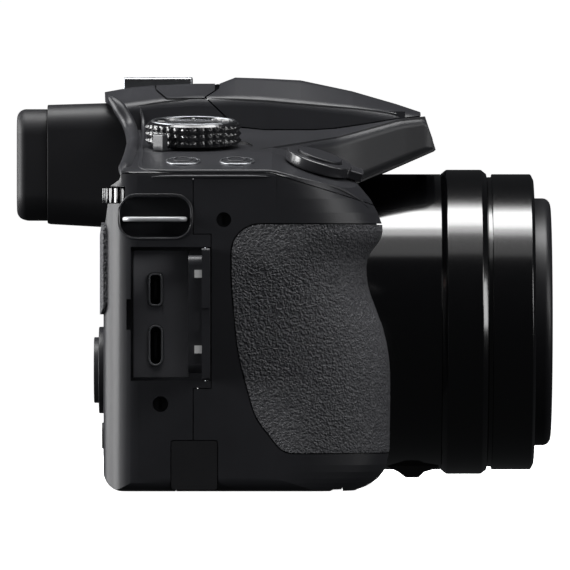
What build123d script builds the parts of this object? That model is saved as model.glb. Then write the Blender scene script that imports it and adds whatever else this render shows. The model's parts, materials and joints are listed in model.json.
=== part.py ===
"""Bridge camera with a long zoom lens, a pop-up flash, an eyepiece block and an open side door.

Frame: the origin is the mouth of the tripod socket on the flat base. +Z is up, the lens
looks along -Y, and the hand grip is on the -X side. All sizes are millimetres.
A box in the tables below is three (low, high) pairs along X, Y and Z.
"""

import math
import os

from build123d import *

# Overall driving sizes
body_width = 130.2
drawn_width = 130.2  # the width that the places along X in the tables are drawn for
drawn_side_x = -84.2  # grip side at that width, from the optical axis
width_share = body_width / drawn_width
side_x = drawn_side_x * width_share
left_side_x = side_x + body_width
side_shift = side_x - drawn_side_x
body_front_y = -13.0
body_rear_y = 26.65
cover_wall = 2.0
grip_wall = 3.0
fit_gap = 0.2  # clearance between neighbouring casing pieces
running_gap = 0.3  # clearance round anything that moves
touch_gap = 0.05  # clearance between a piece and the seat it is fixed in
overrun = 1.0  # how far a cutting tool runs past the face it cuts
above_all = 110.0  # height that clears the whole camera

# Casing outline, side view: (y, z, corner radius)
base_front_round = 2.5
base_edge_round = 4.6
rear_wall_corners = [(body_rear_y, 58.5, 8.0), (25.0, 69.9, 0.6), (22.9, 71.3, 1.0), (20.8, 78.5, 4.0)]
rear_frame_corners = [(22.9, 71.3), (21.9, 74.1), (21.0, 76.7), (20.6, 80.3), (21.0, 83.7), (22.4, 86.3),
                      (24.7, 88.5), (27.2, 90.2), (27.4, 92.5)]

# Casing outline, plan
rear_corner_radius = 8.0
front_corner_radius = 9.0

# Casing outline, front view: (x, z, corner radius) along the top from the left side to the grip side
side_base_round = 3.0
shoulder_corners = [(46.0, 74.0, 1.5), (34.0, 79.0, 10.0), (24.0, 81.0, 0), (-24.0, 83.6, 0),
                    (-37.0, 80.83, 8.0), (-63.0, 77.9, 6.0), (-84.2, 73.2, 1.2)]
release_slope_deg = 17.0
release_slope_y = -12.0

# Seams between the covers
top_seam_z = 72.8
cover_seam_y = 6.0
base_seam_y = 10.0
base_seam_z = 8.0
port_seam_y = 1.8
port_seam_z = (23.5, 59.0)

# Hand grip: front line in side view as (z, y), and its plan as shares of width and depth
grip_front_line = [(0.0, -31.2), (0.9, -33.5), (1.9, -35.3), (2.9, -36.5), (4.4, -37.7), (6.0, -38.4),
                   (9.5, -39.1), (22.7, -39.25), (27.0, -39.2), (30.5, -38.95), (34.0, -38.4),
                   (37.7, -37.45), (41.3, -36.1), (44.8, -34.8), (47.0, -34.15), (49.2, -33.85),
                   (51.2, -33.75), (53.2, -34.0), (54.4, -34.6), (55.6, -35.4), (57.0, -36.5),
                   (58.3, -37.2), (59.6, -37.5), (61.1, -37.4), (63.8, -36.4), (67.0, -34.7),
                   (70.4, -31.9), (76.0, -26.6), (85.0, -18.5)]
grip_back_y = -4.0
grip_inner_x = -43.0
grip_plan_shares = [(0.0, 0.25), (0.006, 0.41), (0.05, 0.65), (0.15, 0.85), (0.3, 0.97), (0.45, 1.0),
                    (0.62, 0.95), (0.78, 0.77), (0.9, 0.52), (1.0, 0.24)]

# Grip leather pad
pad_thickness = 1.2
pad_groove = 0.3
pad_inner_x = -52.0
pad_corners = [(-14.6, 8.8, 5.0), (-8.2, 17.0, 14.0), (-4.2, 31.7, 60.0), (-2.8, 48.0, 60.0),
               (-2.8, 61.1, 6.5), (-60.0, 61.1, 0), (-60.0, 8.8, 0)]

# Hump behind the flash: (y, base half, edge half, edge z, flat half, top z)
hump_base_z = 74.0
hump_edge_round = 3.0
roof_line = [(3.3, 91.2), (12.6, 91.0), (15.2, 93.2), (15.6, 97.0)]  # panel line over the roof, y and z
roof_line_width = 0.35
roof_line_depth = 0.5
hump_top_round = 5.0
hump_stations = [(30.0, 24.0, 22.8, 88.4, 12.5, 92.2), (21.0, 24.0, 22.5, 89.6, 12.5, 93.8),
                 (14.5, 23.8, 22.3, 90.5, 12.5, 94.3), (6.0, 23.6, 22.0, 91.1, 12.5, 94.65),
                 (-6.0, 23.4, 21.6, 91.0, 12.5, 94.65)]

# Flash unit: the same columns
flash_stations = [(6.0, 23.3, 21.9, 91.1, 12.5, 94.65), (0.4, 23.1, 21.8, 91.1, 12.5, 94.65),
                  (-3.3, 22.9, 21.6, 91.0, 12.2, 96.1), (-10.0, 22.4, 21.2, 90.75, 12.0, 95.9),
                  (-18.7, 21.8, 20.7, 89.9, 11.6, 95.45), (-30.8, 20.7, 19.7, 88.9, 10.6, 92.9),
                  (-41.2, 19.2, 18.4, 87.6, 9.4, 89.9), (-46.9, 17.6, 17.0, 87.0, 8.6, 88.0)]
flash_wall = 1.6
flash_seam = [(3.45, 91.3), (-3.45, 84.55), (-10.1, 83.8), (-21.8, 83.8), (-27.2, 84.2), (-34.1, 85.25),
              (-41.0, 86.4), (-47.4, 87.1)]
flash_pivot = (0.8, 93.4)  # y, z
flash_roof_y = 0.4
flash_roof_gap = 1.1

# Brow in front of the hump: (y, inner half, inner z, grip side x, grip side z, left side x, left side z)
brow_base_z = 60.0
brow_stations = [(4.0, 21.5, 82.3, -63.5, 77.6, 36.5, 77.5), (-3.4, 21.4, 84.2, -62.0, 77.9, 35.0, 78.4),
                 (-10.0, 21.0, 83.9, -55.0, 78.9, 33.5, 79.0),
                 (-27.2, 19.2, 84.2, -30.5, 81.9, 28.5, 81.9), (-41.9, 17.6, 86.5, -22.5, 86.1, 22.5, 86.1),
                 (-48.6, 16.0, 87.1, -19.5, 86.9, 19.5, 86.9), (-51.0, 15.0, 87.2, -17.0, 87.0, 17.0, 87.0)]
brow_side_corners = [(-14.0, 66.0, 0), (-32.2, 71.1, 0), (-50.4, 79.0, 1.2), (-47.7, 87.3, 0)]
brow_rear_y = 3.9

# Pocket under the flash
well_box = ((-18.3, 18.3), (-44.7, -3.6), (79.0, 100.0))
well_wall = 1.5

# Lens
lens_axis_z = 38.55
barrel_radius = 34.9
barrel_wall = 1.9
barrel_bore_radius = barrel_radius - barrel_wall
barrel_front_y = -51.7
barrel_clearance = 0.25
barrel_flange_reach = 1.3
barrel_flange_radius = barrel_radius + barrel_flange_reach
barrel_flange_thickness = 1.6
sleeve_step = 1.0
sleeve_radius = barrel_radius - sleeve_step
sleeve_front_y = -72.4
rear_collar_rise = 1.05
rear_collar_radius = barrel_radius + rear_collar_rise
rear_collar_y = (-62.55, -51.75)
rear_collar_chamfer = 1.3
front_collar_y = (-73.6, -62.6)
front_collar_groove = 1.1
front_collar_groove_depth = 0.7
front_collar_chamfer = 1.3
front_collar_lip_reach = 3.35
front_collar_lip_radius = barrel_radius - front_collar_lip_reach
front_collar_lip = 0.9
stage_gap = 0.35
cam_radius = barrel_bore_radius - stage_gap
cam_wall = 1.1
cam_y = (-66.0, -18.0)
cam_slots = 3
cam_slot_width = 3.3
stage_radius = cam_radius - cam_wall - stage_gap
stage_wall = 1.6
stage_y = (-73.2, -23.0)
front_stage_gap = 0.4
front_stage_radius = stage_radius - stage_wall - front_stage_gap
front_stage_wall = 1.3
front_stage_y = (-77.65, -30.0)
front_stage_round = 1.9
filter_wall = 1.7
filter_radius = front_stage_radius - filter_wall
filter_length = 3.5
front_glass_step = 4.0
front_glass_radius = filter_radius - front_glass_step
front_glass_bulge = 2.4
front_glass_edge = 3.2
front_glass_sink = 0.55  # from the end of the filter thread to the top of the dome
front_glass_y = front_stage_y[0] + filter_length + front_glass_sink + front_glass_bulge
dome_share = 3 / 4  # rise of the dome at half its radius
glass_seat = 1.2

# Foot under the barrel: (y, height from the barrel's lowest line)
foot_half_width = 8.0
foot_corners = [(-51.2, 2.35), (-51.2, 0.55), (-47.8, -0.45), (-46.4, -1.79), (-43.5, -1.79), (-41.7, -0.45),
                (-36.0, 2.35)]

# Eyepiece block: (y, half width, low z, top z, corner radius)
eyepiece_stations = [(14.0, 20.5, 60.2, 90.4, 6.0), (40.8, 20.5, 61.7, 89.6, 6.0)]
eyepiece_wall = 1.8
eyecup_half_width = 19.6
eyecup_z = (62.5, 88.6)
eyecup_y = (40.85, 48.0)
eyecup_corner = 6.0
eyecup_edge_round = 2.2
eye_window = (12.0, 68.2, 83.4, 3.0)  # half width, low z, top z, corner radius
eye_recess_deep = 5.6
eyepiece_glass_thickness = 3.0

# Hot shoe
shoe_half_width = 10.5
shoe_slot_half = 9.35
shoe_mouth_half = 6.4
shoe_y = (6.85, 23.0)
shoe_top_z = 96.2
shoe_rail = 1.0
shoe_slot_height = 2.05
shoe_plate = 1.0
shoe_wall = 1.0


# Connector side: boxes and depths from the grip side face
port_lining_box = ((-84.2, -75.6), (2.0, 21.9), (23.7, 58.8))
port_rebate_box = ((-86.0, -82.2), (1.85, 20.3), (25.3, 55.95))
port_well_box = ((-86.0, -78.9), (6.9, 19.9), (26.0, 55.2))
port_panel_box = ((-78.9, -77.3), (6.9, 19.9), (26.0, 55.2))
video_socket_box = ((-79.3, -72.5), (13.1, 16.3), (42.4, 50.0))
usb_socket_box = ((-79.3, -72.0), (13.0, 16.3), (28.7, 38.1))
socket_chamfer = 1.0
socket_shell = 0.45
socket_tongue = 0.7
nail_recess_box = ((-86.0, -82.9), (19.5, 21.3), (37.0, 44.0))

# Port door, as it stands open in the photo
door_pivot = (-83.3, 3.0)
door_skin = 1.8
door_length = 17.0
door_z = (25.65, 55.6)
door_plug_box = ((-98.9, -87.6), (3.9, 7.0), (27.2, 54.0))
door_plug_wall = 1.3
door_plug_round = 2.0
door_clip_zs = [(48.9, 50.7), (31.7, 33.5)]
door_clip_box = ((-99.9, -99.2), (4.2, 5.6))
door_notch_z = (37.5, 42.0)
door_notch_depth = 1.0
door_pin_radius = 0.4
door_knuckle_radius = 0.9
pin_fit = 0.06

# Strap lugs
lug_lining_box = ((-84.2, -76.6), (6.2, 24.3), (57.0, 68.9))
lug_pocket_box = ((-86.0, -79.2), (6.8, 22.8), (58.3, 67.4))
lug_pocket_round = 3.4
lug_box = ((-87.0, -76.4), (7.4, 22.2), (61.75, 62.85))
lug_round = 2.6
lug_slot_box = ((-85.5, -80.4), (9.3, 20.3), (60.0, 64.0))
lug_slot_round = 1.4

# Side flap over the coupler, hinged at its front edge
flap_box = ((-84.2, -82.5), (0.5, 11.0), (0.45, 11.6))
flap_round = 0.6

# Screws on the side and under the base: (y, z, radius) and (x, y, radius)
side_screw_spots = [(-1.0, 62.2, 1.65), (13.5, 20.0, 1.75)]
base_screw_spots = [(38.0, -1.5, 1.7), (38.0, 19.0, 1.7), (14.0, 20.0, 1.7), (-24.0, 20.0, 1.7),
                    (-79.0, 14.5, 1.6)]
screw_sink = 0.9
screw_length = 5.0
screw_slot = 0.35
slot_share = 2 / 3  # length of a screw's slot, of its head

# Rear side
thumb_pad_box = ((-80.0, -63.0), (20.0, 40.0), (40.5, 61.6))
thumb_pad_proud = 0.85
lcd_box = ((-30.0, 41.5), (24.6, 27.15), (8.0, 59.0))
lcd_glass_box = ((-28.0, 39.5), (26.4, 27.25), (10.0, 57.0))
lcd_round = 1.6
cursor_spot = (-58.0, 27.6)
cursor_radius = 10.0
cursor_proud = 1.3
cursor_ring_radius = 7.6
cursor_ring_proud = 2.45
cursor_center_radius = 3.6
cursor_center_proud = 2.2
rear_button_radius = 3.0
rear_button_proud = 0.45
rear_buttons = {"delete_button": (-50.0, 10.6), "display_button": (-68.5, 12.6),
                "playback_button": (-48.5, 46.5)}
button_depth = 3.2
button_flange = 0.8
button_flange_length = 0.8
thumb_wheel_spot = (-64.0, 18.6)
thumb_wheel_radius = 8.2
thumb_wheel_z = (66.2, 69.5)
thumb_wheel_ribs = 30
thumb_wheel_rib = 0.35
wheel_notch_y = 21.6  # the notch that shows the wheel runs out through the rear corner behind this

# Top controls
dial_spot = (-51.0, 6.25)
dial_radius = 10.55
dial_point_radius = 11.2
dial_columns = 36
dial_rows = 3
dial_row_height = 1.55
dial_base = 0.85
dial_chamfer = 0.5
dial_recess_radius = 9.1
dial_recess = 0.25
dial_mark_count = 9
dial_mark = (1.5, 0.5, 0.2)  # long, wide, high
shaft_radius = 2.9
shaft_length = 5.5
hub_radius = 4.4
lever_disc_radius = 8.4
lever_disc = (0.15, 0.65)
lever_tab_r = (11.6, 13.4)
lever_tab_wide = 3.1
lever_tab_top = 4.0
lever_tab_deg = 142.9
fn_spots = [(-74.0, 8.4), (-74.0, -4.0)]
fn_radius = 3.45
fn_proud = 0.6
release_spot = (-66.0, -22.3)
zoom_ring_radius = 7.75
zoom_ring_height = 2.9
zoom_ring_bore = 5.2
zoom_tab_r = (6.9, 10.6)
zoom_tab_wide = 6.0
zoom_tab_top = 2.4
shutter_radius = 5.12
shutter_proud = 3.5
shutter_stem_radius = 2.0
zoom_hub_radius = 6.6

# Inside
sensor_box = ((-5.5, 5.5), (-6.6, -5.0), (33.0, 44.0))
board_box = ((-40.0, 37.0), (11.6, 13.2), (9.0, 66.0))
chassis_plate_box = ((-41.5, 42.0), (-8.2, -6.8), (4.0, 68.0))
chassis_foot_box = ((-14.0, 14.0), (-8.2, 9.0), (2.35, 4.4))
battery_box = ((-78.0, -57.5), (-26.3, 0.2), (4.3, 47.0))
battery_round = 3.0
holder_wall = 1.0
battery_door_box = ((-79.5, -50.0), (-28.0, 5.6), (0.35, 2.1))
battery_door_round = 2.0
battery_latch_box = ((-77.5, -75.0), (-6.0, -1.0), (0.2, 1.2))
capacitor_radius = 4.8
capacitor_spot = (-26.0, board_box[1][0] - capacitor_radius)  # x, y
capacitor_z = (58.0, 64.0)
lamp_gap = 9.085  # from the barrel to the middle of the lamp
lamp_turn_deg = 150.813
lamp_radius = 2.6
display_box = ((-7.0, 7.0), (16.5, 18.2), (69.0, 81.0))
tripod_thread_radius = 3.175
tripod_socket_radius = 5.3
tripod_socket_depth = 6.5

# Flash module under the lid, and its hinge
module_rear_y = -27.5
module_front_y = -43.2
module_low_y = -39.6
module_low_z = 80.0
module_front_z = 85.7
flash_window_half = 14.5
flash_window_high = 4.6
trough_depth_share = 1.6  # the reflector's trough, of the flash wall
trough_radius_share = 0.8
hinge_radius = 1.15
hinge_pin_radius = 0.5
hinge_pin_half = 11.4
hinge_lug_x = (2.5, 6.8)
hinge_fixed_x = (7.2, 11.4)

# Catch, focus wheel and latch sizes
latch_travel = 2.0
focus_wheel_spot = (33.5, 71.0)
focus_wheel_x = (20.75, 23.2)
focus_wheel_radius = 4.6
focus_wheel_ribs = 24
flash_catch_box = ((20.3, 24.4), (5.0, 10.0), (83.0, 85.4))


# Places along X follow the width: what the grip side carries moves with it, and wide pieces stretch
def moved(box):
    return ((box[0][0] + side_shift, box[0][1] + side_shift),) + tuple(box[1:])


def moved_spot(spot):
    return (spot[0] + side_shift,) + tuple(spot[1:])


def stretched(box):
    return ((box[0][0] * width_share, box[0][1] * width_share), box[1], box[2])


def spread(reach, widest):
    """A reach beyond the hump: it follows the width fully at its widest and hardly at the nose."""
    return reach * (1 + (width_share - 1) * reach / widest)


port_lining_box = moved(port_lining_box)
port_rebate_box = moved(port_rebate_box)
port_well_box = moved(port_well_box)
port_panel_box, nail_recess_box = moved(port_panel_box), moved(nail_recess_box)
video_socket_box, usb_socket_box = moved(video_socket_box), moved(usb_socket_box)
door_plug_box, door_clip_box, flap_box = map(moved, (door_plug_box, door_clip_box, flap_box))
lug_lining_box, lug_pocket_box = moved(lug_lining_box), moved(lug_pocket_box)
lug_box, lug_slot_box = moved(lug_box), moved(lug_slot_box)
battery_box, battery_door_box = moved(battery_box), moved(battery_door_box)
battery_latch_box, thumb_pad_box = moved(battery_latch_box), moved(thumb_pad_box)
door_pivot, cursor_spot, thumb_wheel_spot = map(moved_spot, (door_pivot, cursor_spot, thumb_wheel_spot))
dial_spot, release_spot = moved_spot(dial_spot), moved_spot(release_spot)
fn_spots = [moved_spot(spot) for spot in fn_spots]
rear_buttons = {name: moved_spot(spot) for name, spot in rear_buttons.items()}
grip_inner_x = grip_inner_x + side_shift
pad_inner_x = pad_inner_x + side_shift
lcd_box, lcd_glass_box = stretched(lcd_box), stretched(lcd_glass_box)
board_box, chassis_plate_box = stretched(board_box), stretched(chassis_plate_box)
base_screw_spots = [(x * width_share, y, radius) for x, y, radius in base_screw_spots]
shoulder_corners = [(x * width_share, z, radius) for x, z, radius in shoulder_corners]
brow_grip_reach = brow_stations[0][3] + brow_stations[0][1]
brow_left_reach = brow_stations[0][5] - brow_stations[0][1]
brow_stations = [(y, half, inner_z, spread(grip_x + half, brow_grip_reach) - half, grip_z,
                  spread(left_x - half, brow_left_reach) + half, left_z)
                 for y, half, inner_z, grip_x, grip_z, left_x, left_z in brow_stations]
lamp_reach = barrel_radius + lamp_gap
lamp_spot = (lamp_reach * math.cos(math.radians(lamp_turn_deg)),
             lens_axis_z + lamp_reach * math.sin(math.radians(lamp_turn_deg)))


def outline(corners, plane=Plane.XY):
    """A closed face in a plane, from corners (u, v) or (u, v, radius)."""
    points = [Vector(c[0], c[1], 0) for c in corners]
    radii = [c[2] if len(c) > 2 else 0 for c in corners]
    count = len(points)
    starts, mids, ends = [], [], []
    for i in range(count):
        back = points[i - 1] - points[i]
        ahead = points[(i + 1) % count] - points[i]
        half = math.acos(max(-1, min(1, back.dot(ahead) / back.length / ahead.length))) / 2
        if radii[i] > 0 and math.cos(half) > math.sin(math.radians(1 / 2)):
            cut = radii[i] / math.tan(half)
            rise = radii[i] / math.sin(half) - radii[i]
            starts.append(points[i] + back.normalized() * cut)
            mids.append(points[i] + (back.normalized() + ahead.normalized()).normalized() * rise)
            ends.append(points[i] + ahead.normalized() * cut)
        else:
            starts.append(points[i])
            mids.append(None)
            ends.append(points[i])
    edges = []
    for i in range(count):
        if mids[i] is not None:
            edges.append(Edge.make_three_point_arc(starts[i], mids[i], ends[i]))
        edges.append(Edge.make_line(ends[i], starts[(i + 1) % count]))
    return Face(Wire(edges)).moved(plane.location)


def inset(corners, amount):
    """A counter-clockwise outline moved inward; outside corners tighten, inside corners widen."""
    moved = []
    count = len(corners)
    for i, corner in enumerate(corners):
        before, after = corners[i - 1], corners[(i + 1) % count]
        one = Vector(corner[0] - before[0], corner[1] - before[1], 0).normalized()
        two = Vector(after[0] - corner[0], after[1] - corner[1], 0).normalized()
        inward = Vector(-one.Y - two.Y, one.X + two.X, 0)
        shift = inward * (amount / (1 + one.dot(two)))
        radius = corner[2] if len(corner) > 2 else 0
        if radius > 0:
            outside = one.X * two.Y - one.Y * two.X > 0
            radius = max(radius - amount, 0) if outside else radius + amount
        moved.append((corner[0] + shift.X, corner[1] + shift.Y, radius))
    return moved


def plane_x(x):
    """The YZ plane at x: u is Y and v is Z."""
    return Plane(origin=(x, 0, 0), x_dir=(0, 1, 0), z_dir=(1, 0, 0))


def plane_y(y):
    """The XZ plane at y: u is X and v is Z."""
    return Plane(origin=(0, y, 0), x_dir=(1, 0, 0), z_dir=(0, -1, 0))


def plane_z(z):
    """The XY plane at z."""
    return Plane(origin=(0, 0, z), x_dir=(1, 0, 0), z_dir=(0, 0, 1))


def prism_x(corners, low, high):
    return extrude(outline(corners, plane_x(low)), amount=high - low, dir=(1, 0, 0))


def prism_y(corners, low, high):
    return extrude(outline(corners, plane_y(low)), amount=high - low, dir=(0, 1, 0))


def prism_z(corners, low, high):
    return extrude(outline(corners, plane_z(low)), amount=high - low, dir=(0, 0, 1))


def rectangle(u, v, radius=0):
    """Corners of a rectangle from two (low, high) pairs."""
    return [(u[0], v[0], radius), (u[1], v[0], radius), (u[1], v[1], radius), (u[0], v[1], radius)]


def slab(box, radius=0, along="z"):
    """A box, with the corners round one axis rounded."""
    x, y, z = box
    if along == "x":
        return prism_x(rectangle(y, z, radius), *x)
    if along == "y":
        return prism_y(rectangle(x, z, radius), *y)
    return prism_z(rectangle(x, y, radius), *z)


def grown(box, amount):
    """The box moved outward on every side."""
    return tuple((low - amount, high + amount) for low, high in box)


def rod(start, end, radius):
    """A round bar from one point to another."""
    start, end = Vector(*start), Vector(*end)
    return extrude(Plane(origin=start, z_dir=end - start) * Circle(radius), amount=(end - start).length)


def lens_rod(radius, y):
    """A round bar on the optical axis over a (low, high) pair of y."""
    return rod((0, y[0], lens_axis_z), (0, y[1], lens_axis_z), radius)


def lens_ring(outer, inner, y):
    return lens_rod(outer, y) - lens_rod(inner, (y[0] - overrun, y[1] + overrun))


def lens_turned(corners):
    """A solid turned round the optical axis, from (radius, y, corner radius)."""
    plane = Plane(origin=(0, 0, lens_axis_z), x_dir=(1, 0, 0), z_dir=(0, 0, 1))
    return revolve(outline(corners, plane), Axis((0, 0, lens_axis_z), (0, 1, 0)))


def save(name, shape):
    export_step(shape, "parts/" + name + ".step")


# Casing forms, each moved inward by an amount
roof_z = above_all
shear = Vector(0, -math.cos(math.radians(release_slope_deg)), -math.sin(math.radians(release_slope_deg)))


def block_form(amount):
    side = [(body_front_y, 0, base_front_round), (body_rear_y, 0, base_edge_round)]
    side += rear_wall_corners + [(rear_wall_corners[-1][0], roof_z), (body_front_y, roof_z)]
    plan = [(side_x, body_front_y, 0), (left_side_x, body_front_y, front_corner_radius),
            (left_side_x, body_rear_y, rear_corner_radius), (side_x, body_rear_y, rear_corner_radius)]
    return prism_x(inset(side, amount), side_x, left_side_x) & prism_z(inset(plan, amount), 0, roof_z)


def shoulder_form(amount):
    """Everything under the shoulders: level behind the release slope, pitched down in front of it."""
    front = [(side_x, 0, side_base_round), (left_side_x, 0, side_base_round)] + shoulder_corners
    corners = inset(front, amount)
    deep = [(corners[0][0], -roof_z), (corners[1][0], -roof_z)] + corners[2:]
    level = prism_y(deep, release_slope_y, roof_z)
    pitched = extrude(outline(deep, plane_y(release_slope_y)), amount=roof_z, dir=shear)
    return prism_y(corners, -roof_z, roof_z) & (level + pitched)


def grip_section(z, front, amount):
    """One horizontal slice of the grip, moved inward."""
    width = grip_inner_x - side_x
    depth = grip_back_y - front
    points = [Vector(side_x + width * u, grip_back_y - depth * v, z) for u, v in grip_plan_shares]
    moved = []
    for i, point in enumerate(points):
        before = points[max(i - 1, 0)]
        after = points[min(i + 1, len(points) - 1)]
        run = (after - before).normalized()
        if i == 0:
            run = Vector(0, -1, 0)
        moved.append(point + Vector(-run.Y, run.X, 0) * amount)
    front_edge = Edge.make_spline(moved, tangents=[(0, -1, 0), moved[-1] - moved[-2]])
    first = Vector(moved[0].X, grip_back_y, z)
    last = Vector(moved[-1].X, grip_back_y, z)
    edges = [front_edge, Edge.make_line(moved[-1], last), Edge.make_line(last, first),
             Edge.make_line(first, moved[0])]
    return Face(Wire(edges))


def grip_form(amount):
    slices = [grip_section(z, y, amount) for z, y in grip_front_line]
    return loft(slices, ruled=True)


def station_faces(stations, amount, low_z):
    faces = []
    for y, base_half, edge_half, edge_z, flat_half, top_z in stations:
        corners = [(-base_half, low_z), (base_half, low_z), (edge_half, edge_z, hump_edge_round),
                   (flat_half, top_z, hump_top_round), (-flat_half, top_z, hump_top_round),
                   (-edge_half, edge_z, hump_edge_round)]
        faces.append(outline(inset(corners, amount), plane_y(y)))
    return faces


def hump_form(amount):
    front_y, low_z = hump_stations[-1][0] - overrun, hump_base_z - overrun
    rear = [(front_y, low_z), (rear_frame_corners[0][0], low_z)]
    rear += rear_frame_corners[1:] + [(rear_frame_corners[-1][0], roof_z), (front_y, roof_z)]
    body = loft(station_faces(hump_stations, amount, hump_base_z), ruled=True)
    return body & prism_x(inset(rear, amount), side_x, left_side_x)


def brow_form(amount, drop=0):
    """The brow; drop lowers its underside to leave it open there."""
    faces = []
    for y, half, inner_z, grip_x, grip_z, left_x, left_z in brow_stations:
        corners = [(grip_x, brow_base_z), (left_x, brow_base_z), (left_x, left_z), (half, inner_z),
                   (-half, inner_z), (grip_x, grip_z)]
        faces.append(outline(inset(corners, amount), plane_y(y)))
    side = [(brow_rear_y, brow_side_corners[0][1]), (brow_rear_y, roof_z), (brow_side_corners[-1][0], roof_z)]
    side = inset(side + list(reversed(brow_side_corners)), amount)
    lean = (side[4][0] - side[3][0]) / (side[4][1] - side[3][1])
    side[4] = (side[4][0] - lean * drop, side[4][1] - drop, 0)
    side[5:] = [(y, z - drop, 0) for y, z, radius in side[5:]]
    side[0] = (side[0][0], side[0][1] - drop, 0)
    return loft(faces, ruled=True) & prism_x(side, side_x, left_side_x)


def eyepiece_form(amount):
    faces = []
    for y, half, low, top, radius in eyepiece_stations:
        faces.append(outline(inset(rectangle((-half, half), (low, top), radius), amount), plane_y(y)))
    return loft(faces, ruled=True)


def casing_form(amount, grip_amount):
    shoulder = shoulder_form(amount)
    return (block_form(amount) & shoulder) + (grip_form(grip_amount) & shoulder)


def flash_form(amount):
    return loft(station_faces(flash_stations, amount, hump_base_z), ruled=True)


# The region the flash unit takes, in side view
flash_region = [(-above_all, roof_z), (-above_all, flash_seam[-1][1])] + list(reversed(flash_seam))
flash_region += [(flash_roof_y, flash_pivot[1]), (flash_roof_y, roof_z)]

# The regions of the three covers, in side view
slope_drop = (above_all + release_slope_y) * math.tan(math.radians(release_slope_deg))
top_region = [(above_all, top_seam_z), (above_all, roof_z), (-above_all, roof_z),
              (-above_all, top_seam_z - slope_drop), (release_slope_y, top_seam_z)]
low_region = [(-above_all, -above_all), (above_all, -above_all), (above_all, top_seam_z),
              (release_slope_y, top_seam_z), (-above_all, top_seam_z - slope_drop)]
front_region = [(-above_all, -above_all), (base_seam_y, -above_all), (base_seam_y, base_seam_z),
                (cover_seam_y, base_seam_z), (cover_seam_y, roof_z), (-above_all, roof_z)]
rear_region = [(base_seam_y, -above_all), (above_all, -above_all), (above_all, roof_z),
               (cover_seam_y, roof_z), (cover_seam_y, base_seam_z), (base_seam_y, base_seam_z)]


def region(corners, gap):
    return prism_x(inset(corners, gap / 2), side_x - above_all, left_side_x + above_all)


os.makedirs("parts", exist_ok=True)

outer = casing_form(0, 0)
hollow = casing_form(cover_wall, grip_wall)
brow = brow_form(0)
hump = hump_form(0)
brow_hollow = brow_form(cover_wall, cover_wall * 3) - outer
hump_hollow = hump_form(cover_wall)
flash_prism = region(flash_region, 0)
flash_prism_grown = region(flash_region, -running_gap * 2)
roof_slot = slab(((-hump_stations[0][1], hump_stations[0][1]), (flash_roof_y, flash_roof_y + flash_roof_gap),
                  (flash_pivot[1] - flash_roof_gap / 2, roof_z)))
flash_void = flash_prism_grown + roof_slot

# The eyepiece block fills its opening in the covers
eyepiece_cut = eyepiece_form(-fit_gap)

shell = (outer + hump + brow) - (hollow + hump_hollow + brow_hollow)
tray_box = (tuple(v * (1 + well_wall / well_box[0][1]) for v in well_box[0]),
            (well_box[1][0] - well_wall, well_box[1][1] + well_wall),
            (well_box[2][0] - well_wall, well_box[2][1]))
tray = (slab(tray_box) & (brow + outer)) - slab(well_box)


def mirrored(box):
    """The box moved to the left side, at the same depth from the left side face."""
    x, y, z = box
    return ((left_side_x + side_x - x[1], left_side_x + side_x - x[0]), y, z)


def facet_plane(spot, slope_deg, anchor, pitch_deg=0):
    """A plane on a shoulder facet under (x, y), with z out of the facet."""
    across = math.radians(slope_deg)
    along = math.radians(pitch_deg)
    height = anchor[1] + (spot[0] - anchor[0]) * math.tan(across)
    if pitch_deg:
        height += (spot[1] - release_slope_y) * math.tan(along)
    normal = Vector(-math.tan(across), -math.tan(along), 1)
    x_dir = (math.cos(across), 0, math.sin(across))
    return Plane(origin=(spot[0], spot[1], height), x_dir=x_dir, z_dir=normal)


inner_end, shoulder_bend, outer_end = shoulder_corners[4:]
inner_facet_deg = math.degrees(math.atan2(inner_end[1] - shoulder_bend[1], inner_end[0] - shoulder_bend[0]))
outer_facet_deg = math.degrees(math.atan2(shoulder_bend[1] - outer_end[1], shoulder_bend[0] - outer_end[0]))
dial_plane = facet_plane(dial_spot, inner_facet_deg, shoulder_bend)
fn_planes = [facet_plane(spot, outer_facet_deg, shoulder_bend) for spot in fn_spots]
release_plane = facet_plane(release_spot, outer_facet_deg, shoulder_bend, release_slope_deg)


def post(plane, radius, low, high, spot=(0, 0)):
    """A round post on a plane between two heights."""
    return extrude(plane * Pos(spot[0], spot[1], low) * Circle(radius), amount=high - low, dir=plane.z_dir)


# Openings in the covers
top_cuts = post(dial_plane, hub_radius + touch_gap, -shaft_length, overrun)
for plane in fn_planes:
    top_cuts += post(plane, fn_radius + fit_gap, -button_depth, overrun)
top_cuts += post(release_plane, zoom_hub_radius, -shaft_length * 2, overrun)
top_cuts += post(dial_plane, lever_tab_r[1] + running_gap, 0, lever_tab_top + overrun)
shoe_pocket = slab(((-shoe_half_width - touch_gap, shoe_half_width + touch_gap),
                    (shoe_y[0] - touch_gap, shoe_y[1] + touch_gap),
                    (shoe_top_z - shoe_rail - shoe_slot_height - shoe_plate, roof_z)))

lens_cut_y = (rear_collar_y[0], chassis_plate_box[1][0] - running_gap)
lens_cut = lens_rod(barrel_radius + barrel_clearance, lens_cut_y)
flange_cut = lens_rod(barrel_flange_radius + barrel_clearance,
                      (body_front_y + cover_wall, chassis_plate_box[1][0] - running_gap))

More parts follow.
